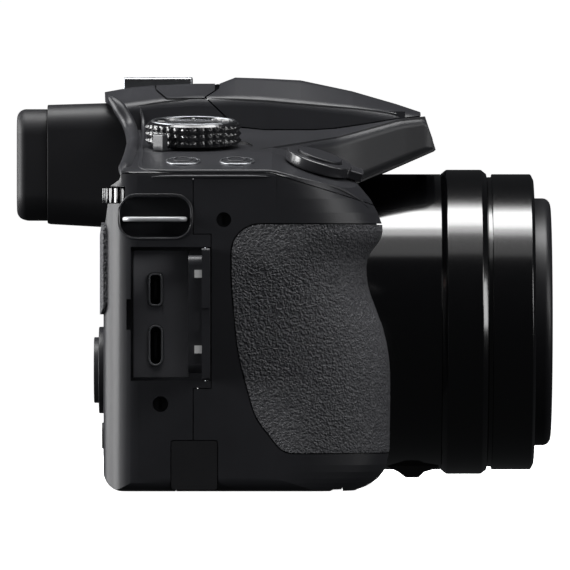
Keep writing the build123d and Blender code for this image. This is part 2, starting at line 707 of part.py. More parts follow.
# Linings moulded into the side walls
lug_linings = [slab(lug_lining_box), slab(mirrored(lug_lining_box))]
lug_pockets = [slab(box, lug_pocket_round, "x") for box in (lug_pocket_box, mirrored(lug_pocket_box))]
lining = slab(port_lining_box) & outer
for piece in lug_linings:
    lining += piece & outer
port_cut = slab(port_rebate_box) + slab(port_well_box)
port_cut += slab(port_panel_box) + slab(nail_recess_box)
port_cut += slab(grown(video_socket_box, touch_gap), socket_chamfer, "x")
port_cut += slab(grown(usb_socket_box, touch_gap), (usb_socket_box[1][1] - usb_socket_box[1][0]) / 2, "x")
pin_reach = (port_rebate_box[2][0] - overrun, port_rebate_box[2][1] + overrun)
pin_low = (door_pivot[0], door_pivot[1], pin_reach[0])
pin_high = (door_pivot[0], door_pivot[1], pin_reach[1])
port_cut += rod(pin_low, pin_high, door_pin_radius + touch_gap)

screw_cuts = []
for y, z, radius in side_screw_spots:
    screw_cuts.append(rod((side_x - overrun, y, z), (side_x + screw_length, y, z), radius + touch_gap))
for x, y, radius in base_screw_spots:
    screw_cuts.append(rod((x, y, -overrun), (x, y, screw_length), radius + touch_gap))

# Three covers
top_cover = (shell & region(top_region, fit_gap)) + (tray & region(top_region, fit_gap))
top_cover -= flash_void + slab(well_box)
top_cover -= eyepiece_cut + lens_cut
top_cover -= top_cuts + shoe_pocket

low_shell = (shell + lining) & region(low_region, fit_gap)
jog_x = (port_lining_box[0][0] - overrun, port_lining_box[0][1])
jog = slab((jog_x, (port_seam_y, cover_seam_y + overrun), port_seam_z))
jog_filled = slab(((jog_x[0], jog_x[1] - fit_gap),
                   (port_seam_y + fit_gap, cover_seam_y + overrun),
                   (port_seam_z[0] + fit_gap, port_seam_z[1] - fit_gap)))
front_cover = low_shell & region(front_region, fit_gap)
front_cover -= jog
rear_cover = low_shell & (region(rear_region, fit_gap) + jog_filled)

pad_prism = prism_x(pad_corners, side_x - overrun, pad_inner_x)
pad_prism_grown = prism_x(inset(pad_corners, -pad_groove), side_x - overrun, pad_inner_x + pad_groove)
pad_floor = casing_form(pad_thickness, pad_thickness)
save("grip_leather", (outer & pad_prism) - pad_floor)
front_cover -= pad_prism_grown - pad_floor
front_cover -= lens_cut + flange_cut
rear_cover -= port_cut + eyepiece_cut
for pocket in lug_pockets:
    rear_cover -= pocket
for lug in (lug_box, mirrored(lug_box)):
    rear_cover -= slab(grown(lug, touch_gap), lug_round)

# Battery door opening and bay
door_x, door_y, door_z_pair = battery_door_box
front_cover -= slab((tuple(v + s * running_gap for v, s in zip(door_x, (-1, 1))),
                     tuple(v + s * running_gap for v, s in zip(door_y, (-1, 1))),
                     (-overrun, door_z_pair[1] + running_gap)), battery_door_round + running_gap)

# Coupler flap opening, across the seam of the two side covers
flap_cut = slab(grown(flap_box, fit_gap), flap_round + fit_gap, "x") + slab(
    ((flap_box[0][0] - overrun, flap_box[0][1] + fit_gap),
     (flap_box[1][0] - fit_gap, flap_box[1][1] + fit_gap),
     (-overrun, flap_box[2][1] / 2)))
front_cover -= flap_cut
rear_cover -= flap_cut

# Rear controls sit in round holes
rear_wall_y = body_rear_y - cover_wall


def rear_post(spot, radius, low, high):
    return rod((spot[0], low, spot[1]), (spot[0], high, spot[1]), radius)


lcd_seat = slab(grown(lcd_box, fit_gap), lcd_round + fit_gap, "y")
rear_cover -= lcd_seat
rear_cover -= rear_post(cursor_spot, cursor_radius + fit_gap, rear_wall_y - overrun, body_rear_y + overrun)
for spot in rear_buttons.values():
    rear_cover -= rear_post(spot, rear_button_radius + running_gap / 2, rear_wall_y - overrun,
                            body_rear_y + overrun)
wheel_low = (thumb_wheel_spot[0], thumb_wheel_spot[1], thumb_wheel_z[0])
wheel_high = (thumb_wheel_spot[0], thumb_wheel_spot[1], thumb_wheel_z[1])
wheel_reach = thumb_wheel_radius + thumb_wheel_rib + running_gap
rear_cover -= rod((wheel_low[0], wheel_low[1], wheel_low[2] - running_gap),
                  (wheel_high[0], wheel_high[1], wheel_high[2] + running_gap), wheel_reach)
rear_cover -= slab(((side_x - overrun, wheel_low[0]), (wheel_notch_y, above_all),
                    (wheel_low[2] - running_gap, wheel_high[2] + running_gap)))
front_cover -= screw_cuts[0]
rear_cover -= screw_cuts[1]
for cut in screw_cuts[2:]:
    front_cover -= cut
    rear_cover -= cut
front_cover -= rod((0, 0, -overrun), (0, 0, tripod_socket_depth), tripod_socket_radius + touch_gap)
front_cover -= rod((lamp_spot[0], body_front_y - overrun, lamp_spot[1]),
                   (lamp_spot[0], body_front_y + cover_wall + overrun, lamp_spot[1]), lamp_radius + touch_gap)
top_cover -= slab(grown(flash_catch_box, running_gap))
for side in (-1, 1):
    lug_x = sorted(side * v for v in hinge_lug_x)
    top_cover -= rod((lug_x[0] - running_gap, *flash_pivot), (lug_x[1] + running_gap, *flash_pivot),
                     hinge_radius + running_gap)
for side in (-1, 1):
    lug_x = sorted(side * v for v in hinge_fixed_x)
    lug = slab((tuple(lug_x), (flash_pivot[0], flash_roof_y + flash_roof_gap * 2),
                (flash_pivot[1] - hinge_radius, flash_pivot[1])))
    lug += rod((lug_x[0], *flash_pivot), (lug_x[1], *flash_pivot), hinge_radius)
    top_cover += lug - rod((lug_x[0] - overrun, *flash_pivot), (lug_x[1] + overrun, *flash_pivot),
                           hinge_pin_radius + touch_gap)
line_low = inset(roof_line + [(roof_line[-1][0], roof_z), (roof_line[0][0], roof_z)], -roof_line_width)
line_high = roof_line + [(roof_line[-1][0], roof_z), (roof_line[0][0], roof_z)]
groove = prism_x(line_low, side_x, left_side_x) - prism_x(line_high, side_x, left_side_x)
groove_z = (roof_line[0][1] - roof_line_depth * 2, roof_z)
groove &= slab(((-above_all, above_all), (roof_line[0][0], above_all), groove_z))
top_cover -= groove & (hump - hump_form(roof_line_depth))
save("top_cover", top_cover)
save("front_cover", front_cover)
save("rear_cover", rear_cover)

# Thumb rest pad on the rear wall
thumb_prism = prism_y(rectangle(thumb_pad_box[0], thumb_pad_box[2], lug_round), *thumb_pad_box[1])
save("thumb_rest", (block_form(-thumb_pad_proud) & thumb_prism) - block_form(0))

# Eyepiece block
eye_half, eye_low, eye_top, eye_round = eye_window
eye_front_y, eye_rear_y = eyepiece_stations[0][0], eyepiece_stations[1][0]
inside_y = slab(((-roof_z, roof_z), (eye_front_y - overrun, eye_rear_y - eyepiece_wall), (0, roof_z)))
housing = eyepiece_form(0) - (eyepiece_form(eyepiece_wall) & inside_y)
window_corners = rectangle((-eye_half, eye_half), (eye_low, eye_top), eye_round)
window_prism = prism_y(window_corners, eye_front_y, eyecup_y[1] + overrun)
housing -= window_prism
save("eyepiece_housing", housing)

cup_corners = rectangle((-eyecup_half_width, eyecup_half_width), eyecup_z, eyecup_corner)
cup = prism_y(cup_corners, *eyecup_y)
cup = fillet(cup.faces().sort_by(Axis.Y)[-1].edges(), eyecup_edge_round)
recess_corners = inset(window_corners, -eyepiece_wall)
cup -= prism_y(recess_corners, eyecup_y[1] - eye_recess_deep, eyecup_y[1] + overrun)
cup -= window_prism
save("eyecup", cup)

glass_corners = inset(window_corners, touch_gap)
glass_y = eyecup_y[1] - eye_recess_deep
save("eyepiece_glass", prism_y(glass_corners, glass_y - eyepiece_glass_thickness, glass_y))
carrier_box = ((display_box[0][0] * 2, display_box[0][1] * 2),
               (display_box[1][0] - eyepiece_wall, display_box[1][0]),
               eyecup_z)
save("eyepiece_display", slab(display_box) + slab(carrier_box) & eyepiece_form(eyepiece_wall + touch_gap))

# Hot shoe: a plate with two walls and inturned rails
slot_top = shoe_top_z - shoe_rail
slot_low = slot_top - shoe_slot_height
shoe = slab(((-shoe_half_width, shoe_half_width), shoe_y, (slot_low - shoe_plate, shoe_top_z)))
shoe_slot_y = (shoe_y[0] + shoe_wall, shoe_y[1] + overrun)
shoe -= slab(((-shoe_slot_half, shoe_slot_half), shoe_slot_y, (slot_low, slot_top)))
shoe -= slab(((-shoe_mouth_half, shoe_mouth_half), (shoe_y[0] + shoe_wall * 2, shoe_y[1] + overrun),
              (slot_low, shoe_top_z + overrun)))
save("hot_shoe", shoe)
contact_radius = shoe_mouth_half / 6
contact_spots = [(0, 0)] + [(i * contact_radius * 3, contact_radius * 4) for i in (-1, 0, 1)]
shoe_middle = sum(shoe_y) / 2
contacts = []
for x, y in contact_spots:
    spot = (x, shoe_middle - y)
    contact_top = (spot[0], spot[1], slot_low + touch_gap * 3)
    contacts.append(rod((spot[0], spot[1], slot_low), contact_top, contact_radius))
save("hot_shoe_contacts", Compound(children=[c.solid() for c in contacts]))

# Lens: fixed barrel with a foot, and two collars
barrel = lens_ring(barrel_radius, barrel_bore_radius, (barrel_front_y, chassis_plate_box[1][0] - fit_gap * 2))
barrel += lens_ring(sleeve_radius, barrel_bore_radius, (sleeve_front_y, barrel_front_y))
flange_front_y = body_front_y + cover_wall + fit_gap
flange_y = (flange_front_y, flange_front_y + barrel_flange_thickness)
barrel += lens_ring(barrel_flange_radius, barrel_bore_radius, flange_y)
barrel_low_z = lens_axis_z - barrel_radius
foot_outline = [(y, barrel_low_z + rise) for y, rise in foot_corners]
foot = prism_x(foot_outline, -foot_half_width, foot_half_width)
barrel += foot - lens_rod(barrel_radius - barrel_clearance, (front_stage_y[0], 0))
save("lens_fixed_barrel", barrel)

rear_collar = lens_turned([
    (sleeve_radius + touch_gap, rear_collar_y[0], 0), (barrel_radius, rear_collar_y[0], 0),
    (rear_collar_radius, rear_collar_y[0] + rear_collar_chamfer, 0),
    (rear_collar_radius, rear_collar_y[1] - rear_collar_chamfer, 0),
    (barrel_radius, rear_collar_y[1], 0), (sleeve_radius + touch_gap, rear_collar_y[1], 0)])
save("barrel_collar_rear", rear_collar)

chamfer_radius = barrel_radius - front_collar_chamfer
front_collar = lens_turned([
    (front_collar_lip_radius, front_collar_y[0], 0), (chamfer_radius, front_collar_y[0], 0),
    (barrel_radius, front_collar_y[0] + front_collar_chamfer / 2, 0),
    (barrel_radius, front_collar_y[1] - front_collar_groove, 0),
    (barrel_radius - front_collar_groove_depth, front_collar_y[1] - front_collar_groove, 0),
    (barrel_radius - front_collar_groove_depth, front_collar_y[1], 0),
    (sleeve_radius + touch_gap, front_collar_y[1], 0),
    (sleeve_radius + touch_gap, front_collar_y[0] + front_collar_lip, 0),
    (front_collar_lip_radius, front_collar_y[0] + front_collar_lip, 0)])
save("barrel_collar_front", front_collar)

# Moving lens stages
cam = lens_ring(cam_radius, cam_radius - cam_wall, cam_y)
slot_half = cam_slot_width / 2
lens_axis = Axis((0, 0, lens_axis_z), (0, 1, 0))
cam_slot = slab(((-slot_half, slot_half), (cam_y[0] + stage_wall * 4, cam_y[1] - stage_wall * 4),
                 (lens_axis_z, lens_axis_z + barrel_radius)))
for turn in range(cam_slots):
    cam -= cam_slot.rotate(lens_axis, turn * 360 / cam_slots)
save("cam_barrel", cam)

stage = lens_ring(stage_radius, stage_radius - stage_wall, stage_y)
save("outer_stage", stage)

inner_radius = front_stage_radius - front_stage_wall
seat_y = front_glass_y + front_glass_edge
tip_radius = front_stage_radius - front_stage_round
front_stage = lens_turned([
    (filter_radius, front_stage_y[0], 0),
    (tip_radius + front_stage_round, front_stage_y[0], front_stage_round),
    (front_stage_radius, front_stage_y[1], 0), (inner_radius, front_stage_y[1], 0),
    (inner_radius, seat_y + glass_seat, 0), (front_glass_radius - glass_seat, seat_y + glass_seat, 0),
    (front_glass_radius - glass_seat, seat_y, 0), (front_glass_radius + touch_gap, seat_y, 0),
    (front_glass_radius + touch_gap, front_stage_y[0] + filter_length, 0),
    (filter_radius, front_stage_y[0] + filter_length, 0)])
save("front_stage", front_stage)

bulge_y = front_glass_y - front_glass_bulge
rim = Vector(front_glass_radius, front_glass_y, 0)
half_way = Vector(front_glass_radius / 2, front_glass_y - front_glass_bulge * dome_share, 0)
dome = Edge.make_three_point_arc(Vector(0, bulge_y, 0), half_way, rim)
rim_back = Vector(front_glass_radius, seat_y, 0)
middle_back = Vector(0, seat_y, 0)
lens_face = Face(Wire([dome, Edge.make_line(rim, rim_back), Edge.make_line(rim_back, middle_back),
                       Edge.make_line(middle_back, Vector(0, bulge_y, 0))]))
lens_face = lens_face.moved(Location((0, 0, lens_axis_z)))
save("front_glass", revolve(lens_face, Axis((0, 0, lens_axis_z), (0, 1, 0))))

# Fixed things behind the lens
group_radius = cam_radius - cam_wall - stage_wall * 3
group_y = (sensor_box[1][0] - shutter_proud * 2, sensor_box[1][0] - shutter_proud)
rear_group = lens_rod(group_radius / 2, group_y)
mount_y = (group_y[1] - touch_gap * 4, chassis_plate_box[1][0] - touch_gap)
mount_y = (mount_y[0], mount_y[1] - cover_wall / 2)
rear_group += lens_ring(barrel_bore_radius - touch_gap, group_radius / 2 - touch_gap, mount_y)
save("rear_lens_group", rear_group)

sensor = slab(sensor_box)
carrier = ((sensor_box[0][0] * 2, sensor_box[0][1] * 2), (sensor_box[1][1], sensor_box[1][1] + cover_wall),
           (lens_axis_z - sensor_box[0][1] * 2, lens_axis_z + sensor_box[0][1] * 2))
save("image_sensor", sensor + slab(carrier))

plate = slab(chassis_plate_box, side_base_round, "y") + slab(chassis_foot_box)
plate -= slab(grown(sensor_box, fit_gap))
plate -= rod((0, 0, 0), (0, 0, tripod_socket_depth), tripod_socket_radius + touch_gap)
plate -= slab(grown(carrier, touch_gap))
save("chassis", plate)

board = slab(board_box)
board -= eyepiece_form(-fit_gap)
save("main_board", board)

socket = rod((0, 0, 0), (0, 0, tripod_socket_depth), tripod_socket_radius)
socket -= rod((0, 0, -overrun), (0, 0, tripod_socket_depth - overrun), tripod_thread_radius)
save("tripod_socket", socket)

capacitor_ends = [(capacitor_spot[0] - capacitor_radius * 2, capacitor_spot[1], capacitor_z[0]),
                  (capacitor_spot[0] + capacitor_radius * 2, capacitor_spot[1], capacitor_z[0])]
save("flash_capacitor", rod(*capacitor_ends, capacitor_radius))

# Connector panel and its sockets
panel = slab(port_panel_box)
usb_round = (usb_socket_box[1][1] - usb_socket_box[1][0]) / 2
panel -= slab(grown(video_socket_box, touch_gap), socket_chamfer, "x")
panel -= slab(grown(usb_socket_box, touch_gap), usb_round - touch_gap, "x")
save("connector_panel", panel & slab(grown(port_panel_box, -touch_gap)))


def socket_piece(box, radius):
    """A metal shell, open outward, with a tongue inside."""
    inner = (box[0], *grown(box, -socket_shell)[1:])
    tongue = ((box[0][0] + socket_shell * 2, box[0][1]),
              (sum(box[1]) / 2 - socket_tongue / 2, sum(box[1]) / 2 + socket_tongue / 2),
              grown(box, -socket_shell * 4)[2])
    opening_x = (inner[0][0] - overrun, inner[0][1] - socket_shell)
    opening = slab((opening_x, inner[1], inner[2]), radius - socket_shell, "x")
    return (slab(box, radius, "x") - opening) + slab(tongue)


save("video_socket", socket_piece(video_socket_box, socket_chamfer))
save("usb_socket", socket_piece(usb_socket_box, usb_round - touch_gap))

# Strap lugs
for name, lug, slot in (("strap_lug_grip_side", lug_box, lug_slot_box),
                        ("strap_lug_left_side", mirrored(lug_box), mirrored(lug_slot_box))):
    save(name, slab(lug, lug_round) - slab(slot, lug_slot_round))

# Port door, standing open: skin, inner plug, knuckle
tip_x = door_pivot[0] - door_length
skin_y = (door_pivot[1] - door_skin / 2, door_pivot[1] + door_skin / 2)
door = slab(((tip_x, door_pivot[0]), skin_y, door_z), door_skin / 3, "y")
door += rod((*door_pivot, door_z[0]), (*door_pivot, door_z[1]), door_knuckle_radius)
plug = slab(door_plug_box, door_plug_round, "y")
plug_hollow = grown((door_plug_box[0], (0, 0), door_plug_box[2]), -door_plug_wall)
plug_hollow_y = (door_plug_box[1][0] + door_plug_wall, door_plug_box[1][1] + overrun)
plug -= slab((plug_hollow[0], plug_hollow_y, plug_hollow[2]),
             door_plug_round - door_plug_wall, "y")
door += plug
notch_y = (skin_y[0] - overrun, skin_y[1] + overrun)
door -= slab(((tip_x - overrun, tip_x + door_notch_depth), notch_y, door_notch_z))
door -= rod(pin_low, pin_high, door_pin_radius + pin_fit)
clips = []
for low, high in door_clip_zs:
    clips.append(slab((door_clip_box[0], door_clip_box[1], (low, high))))
    clip_seat = (door_clip_box[0], (skin_y[1] - touch_gap, door_clip_box[1][1]), (low, high))
    door -= slab(grown(clip_seat, touch_gap))
save("port_door", door)
clip_y = (skin_y[1], door_clip_box[1][1])
clip_solids = [slab((door_clip_box[0], clip_y, pair)).solid() for pair in door_clip_zs]
save("port_door_clips", Compound(children=clip_solids))
save("port_door_pin", rod(pin_low, pin_high, door_pin_radius))

# Coupler flap
flap = slab(flap_box, flap_round, "x")
save("coupler_flap", flap)

# Screws
side_screws = []
for y, z, radius in side_screw_spots:
    screw = rod((side_x + screw_sink, y, z), (side_x + screw_length, y, z), radius)
    slot_z = (z - radius * slot_share, z + radius * slot_share)
    slot_x = (side_x, side_x + screw_sink * 2)
    side_screws.append(screw - slab((slot_x, (y - screw_slot, y + screw_slot), slot_z)))
for x, y, radius in base_screw_spots:
    screw = rod((x, y, screw_sink), (x, y, screw_length), radius)
    slot_x = (x - radius * slot_share, x + radius * slot_share)
    side_screws.append(screw - slab((slot_x, (y - screw_slot, y + screw_slot), (0, screw_sink * 2))))
save("case_screws", Compound(children=[s.solid() for s in side_screws]))

# Screen and rear controls
save("screen_panel", slab(lcd_box, lcd_round, "y") - slab(grown(lcd_glass_box, touch_gap), lcd_round, "y"))
save("screen_glass", slab(lcd_glass_box, lcd_round, "y"))
pad_low = rear_wall_y
pad = rear_post(cursor_spot, cursor_radius, pad_low, body_rear_y + cursor_proud)
pad += rear_post(cursor_spot, cursor_ring_radius, pad_low, body_rear_y + cursor_ring_proud)
pad -= rear_post(cursor_spot, cursor_center_radius + running_gap, pad_low - overrun, above_all)
save("cursor_pad", pad)
save("set_button", rear_post(cursor_spot, cursor_center_radius, pad_low, body_rear_y + cursor_center_proud))
for name, spot in rear_buttons.items():
    button = rear_post(spot, rear_button_radius, rear_wall_y - button_flange, body_rear_y + rear_button_proud)
    flange_y = (rear_wall_y - button_depth, rear_wall_y - button_flange)
    button += rear_post(spot, rear_button_radius + button_flange, *flange_y)
    save(name, button)
wheel = rod(wheel_low, wheel_high, thumb_wheel_radius)
for i in range(thumb_wheel_ribs):
    turn = math.radians(360 / thumb_wheel_ribs * i)
    x = wheel_low[0] + math.cos(turn) * thumb_wheel_radius
    y = wheel_low[1] + math.sin(turn) * thumb_wheel_radius
    wheel += rod((x, y, wheel_low[2]), (x, y, wheel_high[2]), thumb_wheel_rib)
save("rear_wheel", wheel)

# Mode dial: rows of points between plain rings
def ring_face(height, outer_radius, valley_radius):
    points = []
    for i in range(dial_columns * 2):
        turn = math.radians(180 / dial_columns * i)
        radius = valley_radius if i % 2 else outer_radius
        points.append((math.cos(turn) * radius, math.sin(turn) * radius))
    return outline(points, dial_plane.offset(height))


dial = None
for row in range(dial_rows):
    low = dial_base + row * dial_row_height
    faces = []
    for height, out, valley in ((low, dial_radius, dial_radius),
                                (low + dial_row_height / 2, dial_point_radius, dial_radius),
                                (low + dial_row_height, dial_radius, dial_radius)):
        faces.append(ring_face(height, out, valley))
    piece = loft(faces, ruled=True)
    dial = piece if dial is None else dial + piece
dial_top = dial_base + dial_rows * dial_row_height
cap_radius = dial_radius - dial_chamfer
cap = loft([ring_face(dial_top, dial_radius, dial_radius),
            ring_face(dial_top + dial_chamfer, cap_radius, cap_radius)],
           ruled=True)
dial += cap
recess_floor = dial_top + dial_chamfer - dial_recess
dial -= post(dial_plane, dial_recess_radius, recess_floor, dial_top + overrun)
dial += post(dial_plane, shaft_radius, -shaft_length, dial_base + dial_chamfer)
save("mode_dial", dial)

marks = []
for i in range(dial_mark_count):
    turn = 360 / dial_mark_count * i
    spot = dial_plane * Rot(0, 0, turn) * Pos(dial_recess_radius - dial_mark[0], 0, recess_floor)
    marks.append((spot * Box(*dial_mark, align=(Align.CENTER, Align.CENTER, Align.MIN))).solid())
save("mode_dial_marks", Compound(children=marks))

lever = post(dial_plane, lever_disc_radius, *lever_disc)
lever += post(dial_plane, hub_radius, -shaft_length + dial_chamfer, lever_disc[1])
lever_turn = dial_plane * Rot(0, 0, lever_tab_deg)
arm = Box(lever_tab_r[1], lever_tab_wide, lever_disc[1] - lever_disc[0],
          align=(Align.MIN, Align.CENTER, Align.MIN))
lever += lever_turn * Pos(0, 0, lever_disc[0]) * arm
tab = Box(lever_tab_r[1] - lever_tab_r[0], lever_tab_wide, lever_tab_top - lever_disc[0],
          align=(Align.MIN, Align.CENTER, Align.MIN))
lever += lever_turn * Pos(lever_tab_r[0], 0, lever_disc[0]) * tab
lever -= post(dial_plane, shaft_radius + pin_fit, -shaft_length * 2, overrun * 2)
save("power_lever", lever)

for number, plane in enumerate(fn_planes, start=1):
    button = post(plane, fn_radius, -button_depth + button_flange, fn_proud)
    button = chamfer(button.faces().sort_by(Axis.Z)[-1].edges(), fn_proud / 2)
    save("function_button_" + str(number), button)

# Zoom lever round the shutter button
zoom = post(release_plane, zoom_ring_radius, running_gap, zoom_ring_height)
zoom += post(release_plane, zoom_hub_radius - pin_fit, -shaft_length, running_gap)
forward = release_plane * Rot(0, 0, -90)
zoom_tab = Box(zoom_tab_r[1] - zoom_tab_r[0], zoom_tab_wide, zoom_tab_top - running_gap,
               align=(Align.MIN, Align.CENTER, Align.MIN))
zoom += forward * Pos(zoom_tab_r[0], 0, running_gap) * zoom_tab
zoom = zoom - post(release_plane, zoom_ring_bore, -shaft_length * 2, zoom_ring_height + overrun)
save("zoom_lever", zoom)
shutter = post(release_plane, shutter_radius, zoom_ring_height / 2, shutter_proud)
shutter = fillet(shutter.faces().sort_by(Axis.Z)[-1].edges(), fn_proud / 2)
shutter += post(release_plane, shutter_stem_radius, -shaft_length, zoom_ring_height / 2)
save("shutter_button", shutter)

# Flash unit
lid_prism = region(flash_region, 0)
module_x = tuple(v + s * running_gap for v, s in zip(well_box[0], (1, -1)))
module_wall_x = tuple(v + s * flash_wall / 2 for v, s in zip(module_x, (1, -1)))
lid_hollow = slab((module_wall_x, (-above_all, above_all), (0, roof_z)))
lid_hollow += slab(((-above_all, above_all), (flash_stations[-3][0] + running_gap, above_all), (0, roof_z)))
lid = (flash_form(0) & lid_prism) - (flash_form(flash_wall) & lid_hollow)
module_side = [(module_rear_y, module_low_z), (module_rear_y, roof_z), (module_front_y, roof_z),
               (module_front_y, module_front_z), (module_low_y, module_low_z)]
module_top_z = flash_seam[2][1] + flash_wall * 2
module_block = prism_x(module_side, *module_x)
module_deep = module_block & slab(((-roof_z, roof_z), (-roof_z, 0), (0, module_top_z + overrun)))
module = module_block & (flash_form(flash_wall / 2) + module_deep)
hollow_x = tuple(v + s * flash_wall for v, s in zip(module_x, (1, -1)))
module_void = prism_x(inset(module_side, flash_wall), *hollow_x)
module_void = module_void & slab(((-roof_z, roof_z), (-roof_z, 0), (0, module_top_z)))
run = Vector(0, module_low_y - module_front_y, module_low_z - module_front_z).normalized()
middle = Vector(0, (module_low_y + module_front_y) / 2, (module_low_z + module_front_z) / 2)
window_plane = Plane(origin=middle, x_dir=(1, 0, 0), z_dir=Vector(0, run.Z, -run.Y))
window_size = (flash_window_half * 2, flash_window_high)
window_hole = window_plane * Box(window_size[0], window_size[1], flash_wall * 3)
lid += module - module_void - lens_cut
lid -= window_hole
knuckle_spans = [(-hinge_lug_x[1], -hinge_lug_x[0]), (hinge_lug_x[0], hinge_lug_x[1])]
for low, high in knuckle_spans:
    lid += rod((low, *flash_pivot), (high, *flash_pivot), hinge_radius)
    lid += slab(((low, high), (flash_roof_y - hinge_radius * 3, flash_roof_y),
                 (flash_pivot[1] - hinge_radius, flash_pivot[1])))
lid -= rod((-hinge_pin_half, *flash_pivot), (hinge_pin_half, *flash_pivot), hinge_pin_radius + pin_fit)
for low, high in ((-hinge_fixed_x[1], -hinge_fixed_x[0]), (hinge_fixed_x[0], hinge_fixed_x[1])):
    gap = running_gap
    lid -= slab(((low - gap, high + gap),
                 (flash_pivot[0] - hinge_radius - gap * 2, flash_pivot[0] + hinge_radius * 2),
                 (flash_pivot[1] - hinge_radius - gap * 2, roof_z)))
save("flash_lid", lid)
pane = Box(window_size[0] - touch_gap * 2, window_size[1] - touch_gap * 2, flash_wall)
save("flash_window", window_plane * Pos(0, 0, -flash_wall / 2) * pane)
reflector = Box(window_size[0] - flash_wall, window_size[1] - flash_wall, flash_wall)
reflector = window_plane * Pos(0, 0, -flash_wall * 2) * reflector
trough = middle - window_plane.z_dir * (flash_wall * trough_depth_share)
reflector -= rod((-flash_window_half, trough.Y, trough.Z), (flash_window_half, trough.Y, trough.Z),
                 flash_wall * trough_radius_share)
save("flash_reflector", reflector)
pin_half = hinge_pin_half - touch_gap
save("flash_hinge_pin", rod((-pin_half, *flash_pivot), (pin_half, *flash_pivot), hinge_pin_radius))

# Battery bay: holder, battery, door on a base hinge, and the door's latch
bay_outside = grown(battery_box, holder_wall + running_gap)
bay_inside = grown(battery_box, running_gap)
holder = slab((bay_outside[0], bay_outside[1], (battery_box[2][0], bay_outside[2][1])),
              battery_round + holder_wall)
holder -= slab((bay_inside[0], bay_inside[1], (battery_box[2][0] - overrun, bay_inside[2][1])), battery_round)
save("battery_holder", holder & casing_form(cover_wall + touch_gap, grip_wall + touch_gap))
save("battery", slab(battery_box, battery_round))
door_plate = slab(battery_door_box, battery_door_round)
latch_seat = (battery_latch_box[0], battery_latch_box[1], (0, battery_latch_box[2][1] + pin_fit))
door_plate -= slab(((latch_seat[0][0] - pin_fit, latch_seat[0][1] + latch_travel + pin_fit),
                    (latch_seat[1][0] - pin_fit, latch_seat[1][1] + pin_fit), latch_seat[2]))
save("battery_door", door_plate)
save("battery_latch", slab(battery_latch_box))

# Focus-assist lamp window, eyepiece focus wheel and flash catch
save("assist_lamp_window", rod((lamp_spot[0], body_front_y + touch_gap, lamp_spot[1]),
                               (lamp_spot[0], body_front_y + cover_wall, lamp_spot[1]), lamp_radius))
focus_wheel = rod((focus_wheel_x[0], *focus_wheel_spot), (focus_wheel_x[1], *focus_wheel_spot),
                  focus_wheel_radius)
for i in range(focus_wheel_ribs):
    turn = math.radians(360 / focus_wheel_ribs * i)
    y = focus_wheel_spot[0] + math.cos(turn) * focus_wheel_radius
    z = focus_wheel_spot[1] + math.sin(turn) * focus_wheel_radius
    focus_wheel += rod((focus_wheel_x[0], y, z), (focus_wheel_x[1], y, z), thumb_wheel_rib)
save("eyepiece_focus_wheel", focus_wheel)
save("flash_catch", slab(flash_catch_box))
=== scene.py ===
"""Looks for the bridge camera: camera, studio light, materials and fine pieces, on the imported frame.

Blender's lengths are metres. The routes of the fine pieces are in millimetres in the part's own frame:
X across (the grip side is negative), Y to the rear, Z up.
"""
import json
import math

import bmesh
import bpy
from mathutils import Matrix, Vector
from mathutils.bvhtree import BVHTree


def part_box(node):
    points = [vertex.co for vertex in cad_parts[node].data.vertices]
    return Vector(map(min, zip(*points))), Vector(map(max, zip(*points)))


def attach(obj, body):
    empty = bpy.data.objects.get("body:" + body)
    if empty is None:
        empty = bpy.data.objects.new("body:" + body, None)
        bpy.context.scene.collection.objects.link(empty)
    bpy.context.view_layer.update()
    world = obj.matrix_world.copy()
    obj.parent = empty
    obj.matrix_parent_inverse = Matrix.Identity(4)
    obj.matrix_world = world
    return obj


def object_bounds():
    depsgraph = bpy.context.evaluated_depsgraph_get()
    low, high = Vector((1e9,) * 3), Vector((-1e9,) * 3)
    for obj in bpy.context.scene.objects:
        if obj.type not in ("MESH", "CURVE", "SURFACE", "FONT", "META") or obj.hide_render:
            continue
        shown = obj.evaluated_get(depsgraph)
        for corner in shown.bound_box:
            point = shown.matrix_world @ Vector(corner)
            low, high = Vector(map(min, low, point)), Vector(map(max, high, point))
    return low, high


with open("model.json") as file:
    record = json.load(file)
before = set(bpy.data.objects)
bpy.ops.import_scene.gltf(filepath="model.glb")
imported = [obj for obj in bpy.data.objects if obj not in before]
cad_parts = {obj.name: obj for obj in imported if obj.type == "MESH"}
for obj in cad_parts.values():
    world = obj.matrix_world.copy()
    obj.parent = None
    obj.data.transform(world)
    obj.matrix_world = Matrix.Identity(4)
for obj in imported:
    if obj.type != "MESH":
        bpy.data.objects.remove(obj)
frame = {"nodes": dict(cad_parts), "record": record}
cad_box = [list(corner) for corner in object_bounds()]
nodes = frame["nodes"]
MM_PER_M = 1000

# Camera: level, from the grip side, almost parallel
view_distance = 2.6
view_centre = (-0.015, 0.04725)  # y, z
picture_pixels = 570
pixels_per_mm = 4.23
sensor_width = 36
clip_range = (0.05, 20)

camera = bpy.data.objects.new("camera", bpy.data.cameras.new("camera"))
bpy.context.scene.collection.objects.link(camera)
camera.location = (-view_distance, *view_centre)
camera.rotation_euler = (math.radians(90), 0, math.radians(-90))
camera.data.sensor_width = sensor_width
camera.data.lens = pixels_per_mm * view_distance * MM_PER_M / picture_pixels * sensor_width
camera.data.clip_start, camera.data.clip_end = clip_range
bpy.context.scene.camera = camera
bpy.context.scene.view_settings.view_transform = "Standard"


def material(name):
    """An empty material with one shader."""
    mat = bpy.data.materials.new(name)
    mat.use_nodes = True
    tree = mat.node_tree
    tree.nodes.clear()
    out = tree.nodes.new("ShaderNodeOutputMaterial")
    shader = tree.nodes.new("ShaderNodeBsdfPrincipled")
    tree.links.new(shader.outputs[0], out.inputs[0])
    return mat, tree, shader


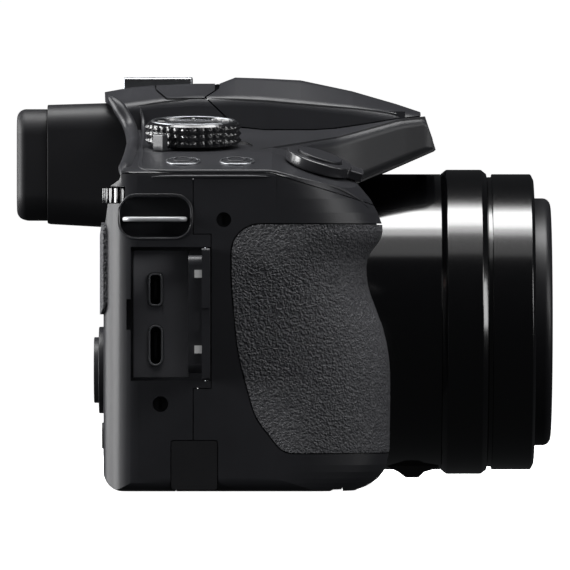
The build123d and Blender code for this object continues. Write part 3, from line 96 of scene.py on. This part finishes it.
def add(tree, kind, **values):
    """A node with its plain properties and its sockets set by name."""
    node = tree.nodes.new(kind)
    for key, value in values.items():
        if hasattr(node, key) and key not in node.inputs:
            setattr(node, key, value)
        else:
            node.inputs[key.replace("_", " ")].default_value = value
    return node


def give(node, **values):
    """Constants on a node's own sockets, named with _ for each space."""
    for key, value in values.items():
        node.inputs[key.replace("_", " ")].default_value = value


patch_stops = (0.3, 0.7)
coat_rough = 0.12
leather_warp_scale = 0.6
leather_warp = 0.0012
leather_round = 0.55
leather_valley, leather_crown = 0.75, 0.05
leather_grain = 0.55


def leather_height(tree, place_out, fine_out, grain):
    """Rounded cells, bent by a coarse noise, with the fine grain added."""
    link = tree.links.new
    warp = add(tree, "ShaderNodeTexNoise", Scale=grain * leather_warp_scale, Detail=2.0)
    link(place_out, warp.inputs["Vector"])
    shift = add(tree, "ShaderNodeMixRGB", blend_type="ADD")
    give(shift, Fac=leather_warp)
    link(place_out, shift.inputs["Color1"])
    link(warp.outputs["Color"], shift.inputs["Color2"])
    cells = add(tree, "ShaderNodeTexVoronoi", feature="SMOOTH_F1", Scale=grain, Smoothness=leather_round)
    link(shift.outputs["Color"], cells.inputs["Vector"])
    crown = add(tree, "ShaderNodeMapRange")
    give(crown, From_Min=leather_valley, From_Max=leather_crown)
    link(cells.outputs["Distance"], crown.inputs["Value"])
    mix = add(tree, "ShaderNodeMixRGB", blend_type="ADD")
    give(mix, Fac=leather_grain)
    link(crown.outputs["Result"], mix.inputs["Color1"])
    link(fine_out, mix.inputs["Color2"])
    return mix.outputs["Color"]


def surface(name, dark, light, rough, grain, bump, deep=0.00004, rough_span=0.08, coat=0.0, metallic=0.0,
            specular=0.5, kind="noise", patch=60.0):
    """A plastic, rubber or metal: fine grain in the bump and the roughness, broad patches in colour."""
    mat, tree, shader = material(name)
    link = tree.links.new
    where = add(tree, "ShaderNodeTexCoord").outputs["Object"]
    broad = add(tree, "ShaderNodeTexNoise", Scale=patch, Detail=4.0, Roughness=0.6)
    link(where, broad.inputs["Vector"])
    ramp = add(tree, "ShaderNodeValToRGB")
    for stop, position, colour in zip(ramp.color_ramp.elements, patch_stops, (dark, light)):
        stop.position = position
        stop.color = (*colour, 1)
    link(broad.outputs["Fac"], ramp.inputs["Fac"])
    link(ramp.outputs["Color"], shader.inputs["Base Color"])
    spread = add(tree, "ShaderNodeMapRange")
    give(spread, To_Min=rough - rough_span, To_Max=rough + rough_span)
    fine = add(tree, "ShaderNodeTexNoise", Scale=grain, Detail=3.0, Roughness=0.55)
    link(where, fine.inputs["Vector"])
    link(fine.outputs["Fac"], spread.inputs["Value"])
    link(spread.outputs["Result"], shader.inputs["Roughness"])
    height = fine.outputs["Fac"]
    if kind == "leather":
        height = leather_height(tree, where, height, grain)
    relief = add(tree, "ShaderNodeBump", Strength=bump, Distance=deep)
    link(height, relief.inputs["Height"])
    link(relief.outputs["Normal"], shader.inputs["Normal"])
    give(shader, Metallic=metallic, Specular_IOR_Level=specular, Coat_Weight=coat, Coat_Roughness=coat_rough)
    return mat


def glass(name, tint, alpha, rough=0.03, rough_span=0.05, smudge_scale=90.0):
    """A glossy pane with faint smudges in its roughness."""
    mat, tree, shader = material(name)
    where = add(tree, "ShaderNodeTexCoord")
    smudge = add(tree, "ShaderNodeTexNoise", Scale=smudge_scale, Detail=3.0)
    tree.links.new(where.outputs["Object"], smudge.inputs["Vector"])
    spread = add(tree, "ShaderNodeMapRange")
    give(spread, To_Min=rough, To_Max=rough + rough_span)
    tree.links.new(smudge.outputs["Fac"], spread.inputs["Value"])
    tree.links.new(spread.outputs["Result"], shader.inputs["Roughness"])
    give(shader, Base_Color=(*tint, 1), Alpha=alpha, Specular_IOR_Level=0.9, Coat_Weight=1.0, Coat_Roughness=0.02)
    return mat


casing = surface("casing_black", (0.022, 0.0225, 0.026), (0.028, 0.0285, 0.033), rough=0.40, grain=3600,
                 bump=0.28, deep=0.00005)
leather = surface("leather_grain", (0.050, 0.0505, 0.057), (0.112, 0.113, 0.122), rough=0.50, grain=1750,
                  bump=0.75, deep=0.00040, kind="leather", patch=1100)
barrel = surface("barrel_black", (0.0015, 0.0015, 0.002), (0.0025, 0.0025, 0.003), rough=0.13, grain=1500,
                 bump=0.015, rough_span=0.02, coat=1.0, specular=0.8)
collar = surface("collar_black", (0.0015, 0.0015, 0.002), (0.0025, 0.0025, 0.003), rough=0.19, grain=1500,
                 bump=0.02, rough_span=0.03, coat=0.8, specular=0.9)
soft = surface("soft_rubber", (0.008, 0.008, 0.010), (0.011, 0.011, 0.013), rough=0.52, grain=3800, bump=0.22)
eyepiece = surface("eyepiece_black", (0.010, 0.010, 0.012), (0.013, 0.013, 0.015), rough=0.46, grain=3600,
                   bump=0.25)
bright = surface("metal_bright", (0.62, 0.63, 0.66), (0.74, 0.75, 0.78), rough=0.16, grain=1400, bump=0.03,
                 metallic=1.0, rough_span=0.04)
satin = surface("metal_satin", (0.30, 0.31, 0.33), (0.40, 0.41, 0.43), rough=0.34, grain=2600, bump=0.10,
                metallic=1.0)
# Strap lugs, socket rims and shoe rails: a half metal whose pale base colour is a painted reflection standing in
# for the bright metal's sheen; the lamps light it as well
painted_sheen_metal = surface("painted_sheen_rim", (0.60, 0.61, 0.63), (0.72, 0.73, 0.75), rough=0.24, grain=1400, bump=0.03,
                   metallic=0.25, rough_span=0.04, coat=0.4)
# Edge strips of the roof and lid: glossy, and lighter in colour than the casing they sit on, which is a painted
# highlight
edge_painted_highlight = surface("edge_painted_highlight", (0.060, 0.061, 0.064), (0.085, 0.086, 0.09), rough=0.24, grain=3600,
                     bump=0.12, coat=0.6, specular=0.9)
panel = surface("panel_grey", (0.40, 0.40, 0.43), (0.48, 0.48, 0.51), rough=0.42, grain=3600, bump=0.2)
lever_black = surface("lever_black", (0.034, 0.034, 0.038), (0.050, 0.050, 0.055), rough=0.24, grain=3000,
                      bump=0.05, coat=0.4)
screw = surface("screw_black", (0.006, 0.006, 0.008), (0.012, 0.012, 0.014), rough=0.35, grain=2600, bump=0.10)
brass = surface("brass_thread", (0.45, 0.34, 0.14), (0.58, 0.45, 0.20), rough=0.30, grain=2400, bump=0.08,
                metallic=1.0)
stage_metal = surface("stage_metal", (0.010, 0.010, 0.012), (0.016, 0.016, 0.018), rough=0.38, grain=2600,
                      bump=0.06)
knurl = surface("knurl_black", (0.010, 0.010, 0.012), (0.016, 0.016, 0.018), rough=0.20, grain=2600,
                bump=0.04, coat=0.6, specular=0.8)
board = surface("board_green", (0.010, 0.06, 0.025), (0.018, 0.10, 0.045), rough=0.40, grain=900, bump=0.2)
pale = surface("pale_mark", (0.62, 0.62, 0.62), (0.74, 0.74, 0.74), rough=0.45, grain=2600, bump=0.06)
lens_glass = glass("lens_glass", (0.010, 0.012, 0.02), 0.55)
screen = glass("screen_glass", (0.004, 0.004, 0.005), 1.0, rough=0.05)
amber = glass("amber_window", (0.35, 0.06, 0.01), 0.8, rough=0.12)

by_slot = {"casing_black": casing, "leather_grain": leather, "barrel_black": barrel, "soft_rubber": soft,
           "metal_bright": bright, "metal_satin": satin, "brass_thread": brass, "stage_metal": stage_metal,
           "board_green": board, "pale_mark": pale, "lens_glass": lens_glass, "screen_glass": screen,
           "amber_window": amber}
by_node = {"case_screws": screw, "video_socket": screw, "usb_socket": screw, "connector_panel": panel,
           "mode_dial": knurl, "rear_wheel": knurl, "eyepiece_focus_wheel": knurl,
           "power_lever": lever_black, "zoom_lever": lever_black, "shutter_button": casing,
           "strap_lug_grip_side": painted_sheen_metal, "strap_lug_left_side": painted_sheen_metal, "chassis": satin,
           "barrel_collar_rear": collar, "barrel_collar_front": collar, "eyepiece_housing": eyepiece}
slot_of = {entry["node"]: entry["material_slot"] for entry in frame["record"]["subparts"]}

# Small rounds on the edges; the lofted shells and the smallest pieces keep their own normals
lofted = {"front_cover", "top_cover", "flash_lid", "grip_leather"}
crisp = {"mode_dial_marks", "hot_shoe_contacts", "case_screws", "port_door_clips", "port_door_pin",
         "flash_hinge_pin", "main_board", "battery", "battery_holder", "chassis", "image_sensor",
         "flash_reflector", "eyepiece_display"}
fine_edge, fine_steps = 0.0002, 2
wide_edge = {"hot_shoe": 0.00045, "strap_lug_grip_side": 0.0005, "strap_lug_left_side": 0.0005,
             "zoom_lever": 0.0004, "power_lever": 0.0003}
wide_steps = 4
edge_angle = math.radians(28)
weld_distance = 0.000002
normal_weight = 50
for name, obj in nodes.items():
    obj.data.materials.clear()
    obj.data.materials.append(by_node.get(name, by_slot[slot_of[name]]))
    if name in crisp or name in lofted:
        continue
    weld = obj.modifiers.new("weld", "WELD")
    weld.merge_threshold = weld_distance
    edge = obj.modifiers.new("edge", "BEVEL")
    edge.limit_method = "ANGLE"
    edge.angle_limit = edge_angle
    edge.width = wide_edge.get(name, fine_edge)
    edge.segments = wide_steps if name in wide_edge else fine_steps
    edge.use_clamp_overlap = True
    edge.harden_normals = False
    even = obj.modifiers.new("even", "WEIGHTED_NORMAL")
    even.mode = "FACE_AREA_WITH_ANGLE"
    even.weight = normal_weight
    even.keep_sharp = True
bpy.context.view_layer.update()

# Fine pieces: shapes laid on the shell and on the controls, each riding on its body
far_off = 0.2
to_grip, to_left, upward, downward = Vector((-1, 0, 0)), Vector((1, 0, 0)), Vector((0, 0, 1)), Vector((0, 0, -1))


def skin(*names):
    """The rest surfaces of these CAD nodes as one tree for finding places on them."""
    points, faces = [], []
    for name in names:
        obj, base = nodes[name], len(points)
        points += [obj.matrix_world @ v.co for v in obj.data.vertices]
        faces += [[base + i for i in p.vertices] for p in obj.data.polygons]
    return BVHTree.FromPolygons(points, faces)


shell = skin("top_cover", "front_cover", "rear_cover")
lid_shell = skin("flash_lid")


def place(mesh_name, verts, faces, body, finish, smooth=True):
    """A mesh piece that rides on a body."""
    mesh = bpy.data.meshes.new(mesh_name)
    mesh.from_pydata([tuple(v) for v in verts], [], faces)
    mesh.update()
    for face in mesh.polygons:
        face.use_smooth = smooth
    mesh.materials.append(finish)
    obj = bpy.data.objects.new(mesh_name, mesh)
    bpy.context.scene.collection.objects.link(obj)
    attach(obj, body)
    return obj


def from_side(y, z):
    """The point and normal of the shell that the grip side shows at y, z in mm."""
    return shell.ray_cast(Vector((-far_off, y / MM_PER_M, z / MM_PER_M)), to_left)[:2]


def from_above(x, y):
    """The point and normal of the shell that the top shows at x, y in mm."""
    return shell.ray_cast(Vector((x / MM_PER_M, y / MM_PER_M, far_off)), downward)[:2]


def smoothed(values, rounds):
    """Values averaged with their neighbours; the ends stay."""
    for _ in range(rounds):
        inner = [(a + b * 2 + c) / 4 for a, b, c in zip(values, values[1:], values[2:])]
        values = [values[0]] + inner + [values[-1]]
    return values


def dense(corners, step):
    """A polyline with a point about every step."""
    points = []
    for a, b in zip(corners, corners[1:]):
        a, b = Vector(a), Vector(b)
        count = max(1, round((b - a).length / step))
        points += [a + (b - a) * (i / count) for i in range(count)]
    return points + [Vector(corners[-1])]


def level(route, y):
    """The value of a route at y, which falls along it."""
    for (y0, v0), (y1, v1) in zip(route, route[1:]):
        if y1 <= y <= y0:
            return v0 + (v1 - v0) * (y0 - y) / (y0 - y1)
    return route[-1][1]


taper_points = 6
taper_tip = 0.02
normal_rounds = 3


def cord_along(mesh_name, hits, radius, lift, body, finish, rounds=4, sides=12, taper=True,
               smooth=True):
    """A ridge that follows surface points; with taper it sinks into the surface at both ends."""
    hits = [h for h in hits if h[0] is not None]
    spots = smoothed([h[0] for h in hits], rounds)
    ups = [n.normalized() for n in smoothed([h[1] for h in hits], rounds * normal_rounds)]
    verts, faces = [], []
    last = len(spots) - 1
    for i, (spot, up) in enumerate(zip(spots, ups)):
        along = (spots[min(i + 1, last)] - spots[max(i - 1, 0)]).normalized()
        across = along.cross(up).normalized()
        up = across.cross(along).normalized()
        size = radius
        if taper:
            size *= min(1.0, math.sqrt(min(i, last - i) / taper_points + taper_tip))
        for k in range(sides):
            turn = 2 * math.pi * k / sides
            rise = lift * size / radius + size * math.sin(turn)
            verts.append(spot + up * rise + across * size * math.cos(turn))
    for i in range(last):
        for k in range(sides):
            a, b = i * sides + k, i * sides + (k + 1) % sides
            faces.append((a, b, b + sides, a + sides))
    faces.append(tuple(reversed(range(sides))))
    faces.append(tuple(range(last * sides, last * sides + sides)))
    return place(mesh_name, verts, faces, body, finish, smooth)


# A thin ridge down the hump's side, across the deck and along its edge to the grip, and one below it
route_step = 0.8
hump_route = [(19.2, 89.4), (18.5, 87.6), (18.15, 84.9)]  # y, z
deck_route = [(-26.5, 18.1), (-60.0, 18.2), (-77.5, 18.2), (-80.6, 17.8), (-82.4, 16.6), (-83.3, 14.6),
              (-83.5, 11.5), (-83.5, -11.0)]  # x, y
shoulder_route = [(15.5, 72.0), (-11.5, 72.0)]  # y, z
deck_edge_z = 73.2
deck_slope_y = -12.0
deck_slope = math.tan(math.radians(17))
slope_start_y = -11.0
slope_points = 29
slope_inset = 0.8
below_edge = 1.0
edge_tries = 5


def edge_point(y, inset):
    """Where the deck meets the grip side at y, inset mm in from the side."""
    z = deck_edge_z - max(0.0, deck_slope_y - y) * deck_slope
    for _ in range(edge_tries):
        side_hit = from_side(y, z - below_edge)[0]
        if side_hit is None:
            return None, None
        top_hit = from_above(side_hit.x * MM_PER_M + inset, y)
        z = top_hit[0].z * MM_PER_M
    return top_hit


hump_run = [from_side(y, z) for y, z in dense(hump_route, route_step)]
deck_run = [from_above(x, y) for x, y in dense(deck_route, route_step)]
slope_run = [edge_point(slope_start_y - (i + 1) * route_step, slope_inset) for i in range(slope_points)]
cord_along("deck_ridge", hump_run + deck_run + slope_run, 0.00062, -0.0002, "camera_body", casing)
shoulder_run = [from_side(y, z) for y, z in dense(shoulder_route, route_step)]
cord_along("shoulder_ridge", shoulder_run, 0.00045, -0.00018, "camera_body", casing)

# A broad roll along the top's rear edge
roll_radius = 0.0016
roll_out, roll_back, roll_up = 0.3, 0.6, 0.75
rear_rolls = {
    "rear_roll_grip": [(-19.6, 26.4, 91.6), (-21.3, 24.9, 90.4), (-22.2, 23.3, 87.9), (-22.9, 21.8, 85.6),
                       (-24.6, 21.0, 83.4), (-30.0, 20.6, 81.8), (-37.0, 20.3, 80.2), (-50.0, 20.4, 78.8),
                       (-63.0, 20.6, 77.1), (-74.0, 21.3, 74.7), (-80.0, 22.0, 73.3), (-81.6, 22.2, 72.2)],
    "rear_roll_left": [(19.6, 26.4, 91.6), (21.3, 24.9, 90.4), (22.2, 23.3, 87.9), (22.9, 21.8, 85.6),
                       (23.6, 21.0, 83.0), (25.2, 20.8, 80.4), (34.0, 20.9, 78.2), (40.0, 21.2, 75.9),
                       (44.2, 21.8, 73.9)]}
for roll_name, route in rear_rolls.items():
    run = [(v / MM_PER_M, Vector((math.copysign(roll_out, v.x), roll_back, roll_up)))
           for v in dense(route, route_step)]
    cord_along(roll_name, run, roll_radius, 0.0, "camera_body", casing, rounds=10, sides=20)

# Crisp edge along the roof, on the cover and on the flash lid: gloss that catches the lamps, and a colour lighter
# than the casing that paints a highlight
edge_step = 0.9
roof_edge = [(20.0, 89.2), (12.0, 90.4), (4.6, 90.9)]  # y, z
lid_edge = [(2.4, 91.0), (-3.3, 90.8), (-10.0, 90.5), (-18.7, 89.7), (-30.8, 88.7), (-41.2, 87.5)]
for inward, side_name in ((to_left, "grip"), (to_grip, "left")):
    for edge_name, tree, route, body in (("roof_edge", shell, roof_edge, "camera_body"),
                                         ("lid_edge", lid_shell, lid_edge, "flash_unit")):
        run = [tree.ray_cast(Vector((-far_off * inward.x, y / MM_PER_M, z / MM_PER_M)), inward)[:2]
               for y, z in dense(route, edge_step)]
        cord_along(edge_name + "_" + side_name, run, 0.0005, -0.00022, body, edge_painted_highlight,
                   rounds=8, sides=4, smooth=False)

# Smooth skin over the brow's side, closed inwards along its upper and lower edges
brow_low = [(-12.0, 65.6), (-32.2, 71.1), (-50.4, 79.0)]  # y, z
brow_high = [(-12.0, 79.0), (-27.2, 81.7), (-41.9, 85.8), (-48.0, 86.4), (-50.4, 79.6)]
brow_plans = {"grip": [(-10.0, -55.0), (-27.2, -30.5), (-41.9, -22.5), (-48.6, -19.5), (-51.0, -17.0)],
              "left": [(-10.0, 33.5), (-27.2, 28.5), (-41.9, 22.5), (-48.6, 19.5), (-51.0, 17.0)]}  # y, x
brow_start_y = -12.2
brow_step = 0.75
brow_columns = 51
brow_rows = 6
brow_rounds = 60
brow_low_gap, brow_high_gap = 0.4, 0.2
brow_return = 0.6
brow_lift = 0.12
columns = [brow_start_y - i * brow_step for i in range(brow_columns)]
for side_name, plan in brow_plans.items():
    side = 1 if side_name == "grip" else -1
    innermost = min if side > 0 else max
    true_x = [level(plan, y) for y in columns]
    verts, faces = [], []
    for y, real, x in zip(columns, true_x, smoothed(true_x, brow_rounds)):
        low_z, high_z = level(brow_low, y) + brow_low_gap, level(brow_high, y) - brow_high_gap
        inner = real + brow_return * side
        outer = innermost(x, real) - brow_lift * side
        verts.append((inner, y, low_z))
        verts += [(outer, y, low_z + (high_z - low_z) * k / (brow_rows - 1)) for k in range(brow_rows)]
        verts.append((inner, y, high_z))
    deep = brow_rows + 2
    for i in range(brow_columns - 1):
        for k in range(deep - 1):
            a = i * deep + k
            quad = (a, a + deep, a + deep + 1, a + 1)
            faces.append(quad if side < 0 else tuple(reversed(quad)))
    place("brow_skin_" + side_name, [Vector(v) / MM_PER_M for v in verts], faces, "camera_body",
          casing)


def rounded_box(low_y, high_y, low_z, high_z, radius, steps=6):
    """The outline of a rounded rectangle in side view."""
    points = []
    for y, z, start in ((high_y - radius, high_z - radius, 0), (low_y + radius, high_z - radius, 90),
                        (low_y + radius, low_z + radius, 180), (high_y - radius, low_z + radius, 270)):
        for step in range(steps + 1):
            a = math.radians(start + step * 90 / steps)
            points.append((y + radius * math.cos(a), z + radius * math.sin(a)))
    return points + points[:1]


# Soft rim round the strap lug's recess; rays that enter the rear wheel's slot land inside and are skipped
lug_outline = rounded_box(6.3, 23.2, 57.8, 67.9, 3.9)
deepest_x = -0.08
rim_run = [from_side(y, z) for y, z in dense(lug_outline, 0.6)]
rim_run = [hit for hit in rim_run if hit[0].x < deepest_x]
cord_along("lug_rim", rim_run, 0.00034, -0.00014, "camera_body", casing, rounds=1)

# Rims of the two sockets and of the accessory shoe's rails, bright partly from the lamps and partly from a painted
# reflection in their pale colour
rim_x = -79.35
rim_step = 0.4
for rim_name, outline in (("video_rim", rounded_box(13.3, 16.1, 42.6, 49.8, 0.9)),
                          ("usb_rim", rounded_box(13.2, 16.1, 28.9, 37.9, 1.3))):
    route = [Vector((rim_x, y, z)) for y, z in dense(outline, rim_step)]
    cord_along(rim_name, [(v / MM_PER_M, to_grip) for v in route], 0.00026, 0.0, "camera_body",
               painted_sheen_metal, rounds=1, taper=False)
shoe_low, shoe_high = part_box("hot_shoe")
line_radius = 0.0004
line_inset = 0.00025
line_end_gap = 0.0003
line_step = 0.001
for side_x in (shoe_low[0] + line_inset, shoe_high[0] - line_inset):
    route = dense([(side_x, y, shoe_high[2] - line_radius)
                   for y in (shoe_low[1] + line_end_gap, shoe_high[1] - line_end_gap)], line_step)
    cord_along("shoe_line", [(v, upward) for v in route], line_radius, 0.0, "camera_body",
               painted_sheen_metal, rounds=1, sides=4, taper=False, smooth=False)


def ring(mesh_name, middle, axis, radius, tube, body, finish, steps=64, sides=10):
    """A thin ring round an axis."""
    axis = axis.normalized()
    side = axis.cross(Vector((0, 1, 0))).normalized()
    front = axis.cross(side)
    verts, faces = [], []
    for i in range(steps):
        a = 2 * math.pi * i / steps
        out = side * math.cos(a) + front * math.sin(a)
        for k in range(sides):
            b = 2 * math.pi * k / sides
            verts.append(middle + out * (radius + tube * math.cos(b)) + axis * tube * math.sin(b))
    for i in range(steps):
        j = (i + 1) % steps
        for k in range(sides):
            m = (k + 1) % sides
            faces.append((i * sides + k, j * sides + k, j * sides + m, i * sides + m))
    return place(mesh_name, verts, faces, body, finish)


def top_of(name):
    """The point and normal on top of a node, over the middle of its box."""
    low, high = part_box(name)
    middle = Vector(((low[0] + high[0]) / 2, (low[1] + high[1]) / 2, far_off))
    return skin(name).ray_cast(middle, downward)[:2]


rim_drop = 0.00045
dial_rise = 0.00022
for number in ("1", "2"):
    name = "function_button_" + number
    crown, up = top_of(name)
    ring("button_rim_" + number, crown - up * rim_drop, up, 0.0038, 0.00028, "camera_body", satin)
    ring("button_step_" + number, crown, up, 0.0021, 0.00022, name, casing)
crown, up = top_of("mode_dial")
ring("dial_rim", crown + up * dial_rise, up, 0.00945, 0.00030, "mode_dial", satin)

# Pale floor that rises into a round backdrop: it shows behind the object and lights nothing
turns = 48
flat_radii = (0.0, 0.6, 1.6, 7.0)
curve_radius = 1.2
bowl_height = 5.5
floor_gap = 0.0002
profile = [(radius, 0.0) for radius in flat_radii]
for angle in map(math.radians, range(10, 91, 10)):
    profile.append((flat_radii[-1] + curve_radius * math.sin(angle), curve_radius - curve_radius * math.cos(angle)))
profile.append((flat_radii[-1] + curve_radius, bowl_height))
around = [(math.cos(2 * math.pi * i / turns), math.sin(2 * math.pi * i / turns)) for i in range(turns)]
bowl = bmesh.new()
rings = [[bowl.verts.new((radius * c, radius * s, z)) for c, s in (around if radius else around[:1])]
         for radius, z in profile]
for inner, outer in zip(rings, rings[1:]):
    for i in range(turns):
        j = (i + 1) % turns
        if len(inner) == 1:
            bowl.faces.new((inner[0], outer[i], outer[j]))
        else:
            bowl.faces.new((inner[i], outer[i], outer[j], inner[j]))
for face in bowl.faces:
    face.smooth = True
mesh = bpy.data.meshes.new("floor")
bowl.to_mesh(mesh)
floor = bpy.data.objects.new("floor", mesh)
floor.location.z = cad_box[0][2] - floor_gap
bpy.context.scene.collection.objects.link(floor)
mat, tree, shader = material("floor_pale")
grain = add(tree, "ShaderNodeTexNoise", Scale=3.0, Detail=2.0)
tint = add(tree, "ShaderNodeValToRGB")
for stop, grey in zip(tint.color_ramp.elements, (0.90, 0.94)):
    stop.color = (grey, grey, grey, 1)
tree.links.new(grain.outputs["Fac"], tint.inputs["Fac"])
tree.links.new(tint.outputs["Color"], shader.inputs["Base Color"])
give(shader, Roughness=0.8, Emission_Color=(1, 1, 1, 1), Emission_Strength=1.0)
mesh.materials.append(mat)
floor.visible_diffuse = False
floor.visible_glossy = False
floor.visible_shadow = False

world = bpy.data.worlds.new("studio")
bpy.context.scene.world = world
world.use_nodes = True
give(world.node_tree.nodes["Background"], Color=(0.92, 0.95, 1, 1), Strength=0.02)

# Three nested boxes overhead make one soft-edged light; the others stand in front and behind.
# Each row: name, place, target, width and height, power
lights = (
    ("top_core", (-0.07, -0.02, 1.08), (-0.07, -0.02, 0), (0.34, 1.1), 7.0),
    ("top_mid", (-0.10, -0.02, 1.09), (-0.10, -0.02, 0), (0.56, 1.1), 6.0),
    ("top_wide", (-0.28, -0.02, 1.10), (-0.28, -0.02, 0), (1.10, 1.1), 2.0),
    ("front_fill", (-1.1, -1.5, 0.75), (0, 0, 0.05), (0.8, 0.8), 7),
    ("front_strip", (-0.33, -1.55, 0.26), (0, -0.05, 0.04), (0.35, 0.6), 3),
    ("rear_box", (0.45, 1.25, 0.35), (0, 0, 0.05), (0.8, 0.9), 12),
    ("rear_fill", (-0.32, 1.45, 0.30), (0, 0, 0.05), (0.5, 0.8), 20),
)
for name, spot, target, extent, power in lights:
    data = bpy.data.lights.new(name, "AREA")
    data.shape = "RECTANGLE"
    data.size, data.size_y = extent
    data.energy = power
    lamp = bpy.data.objects.new(name, data)
    lamp.location = spot
    lamp.rotation_euler = (Vector(target) - Vector(spot)).to_track_quat("-Z", "Y").to_euler()
    bpy.context.scene.collection.objects.link(lamp)
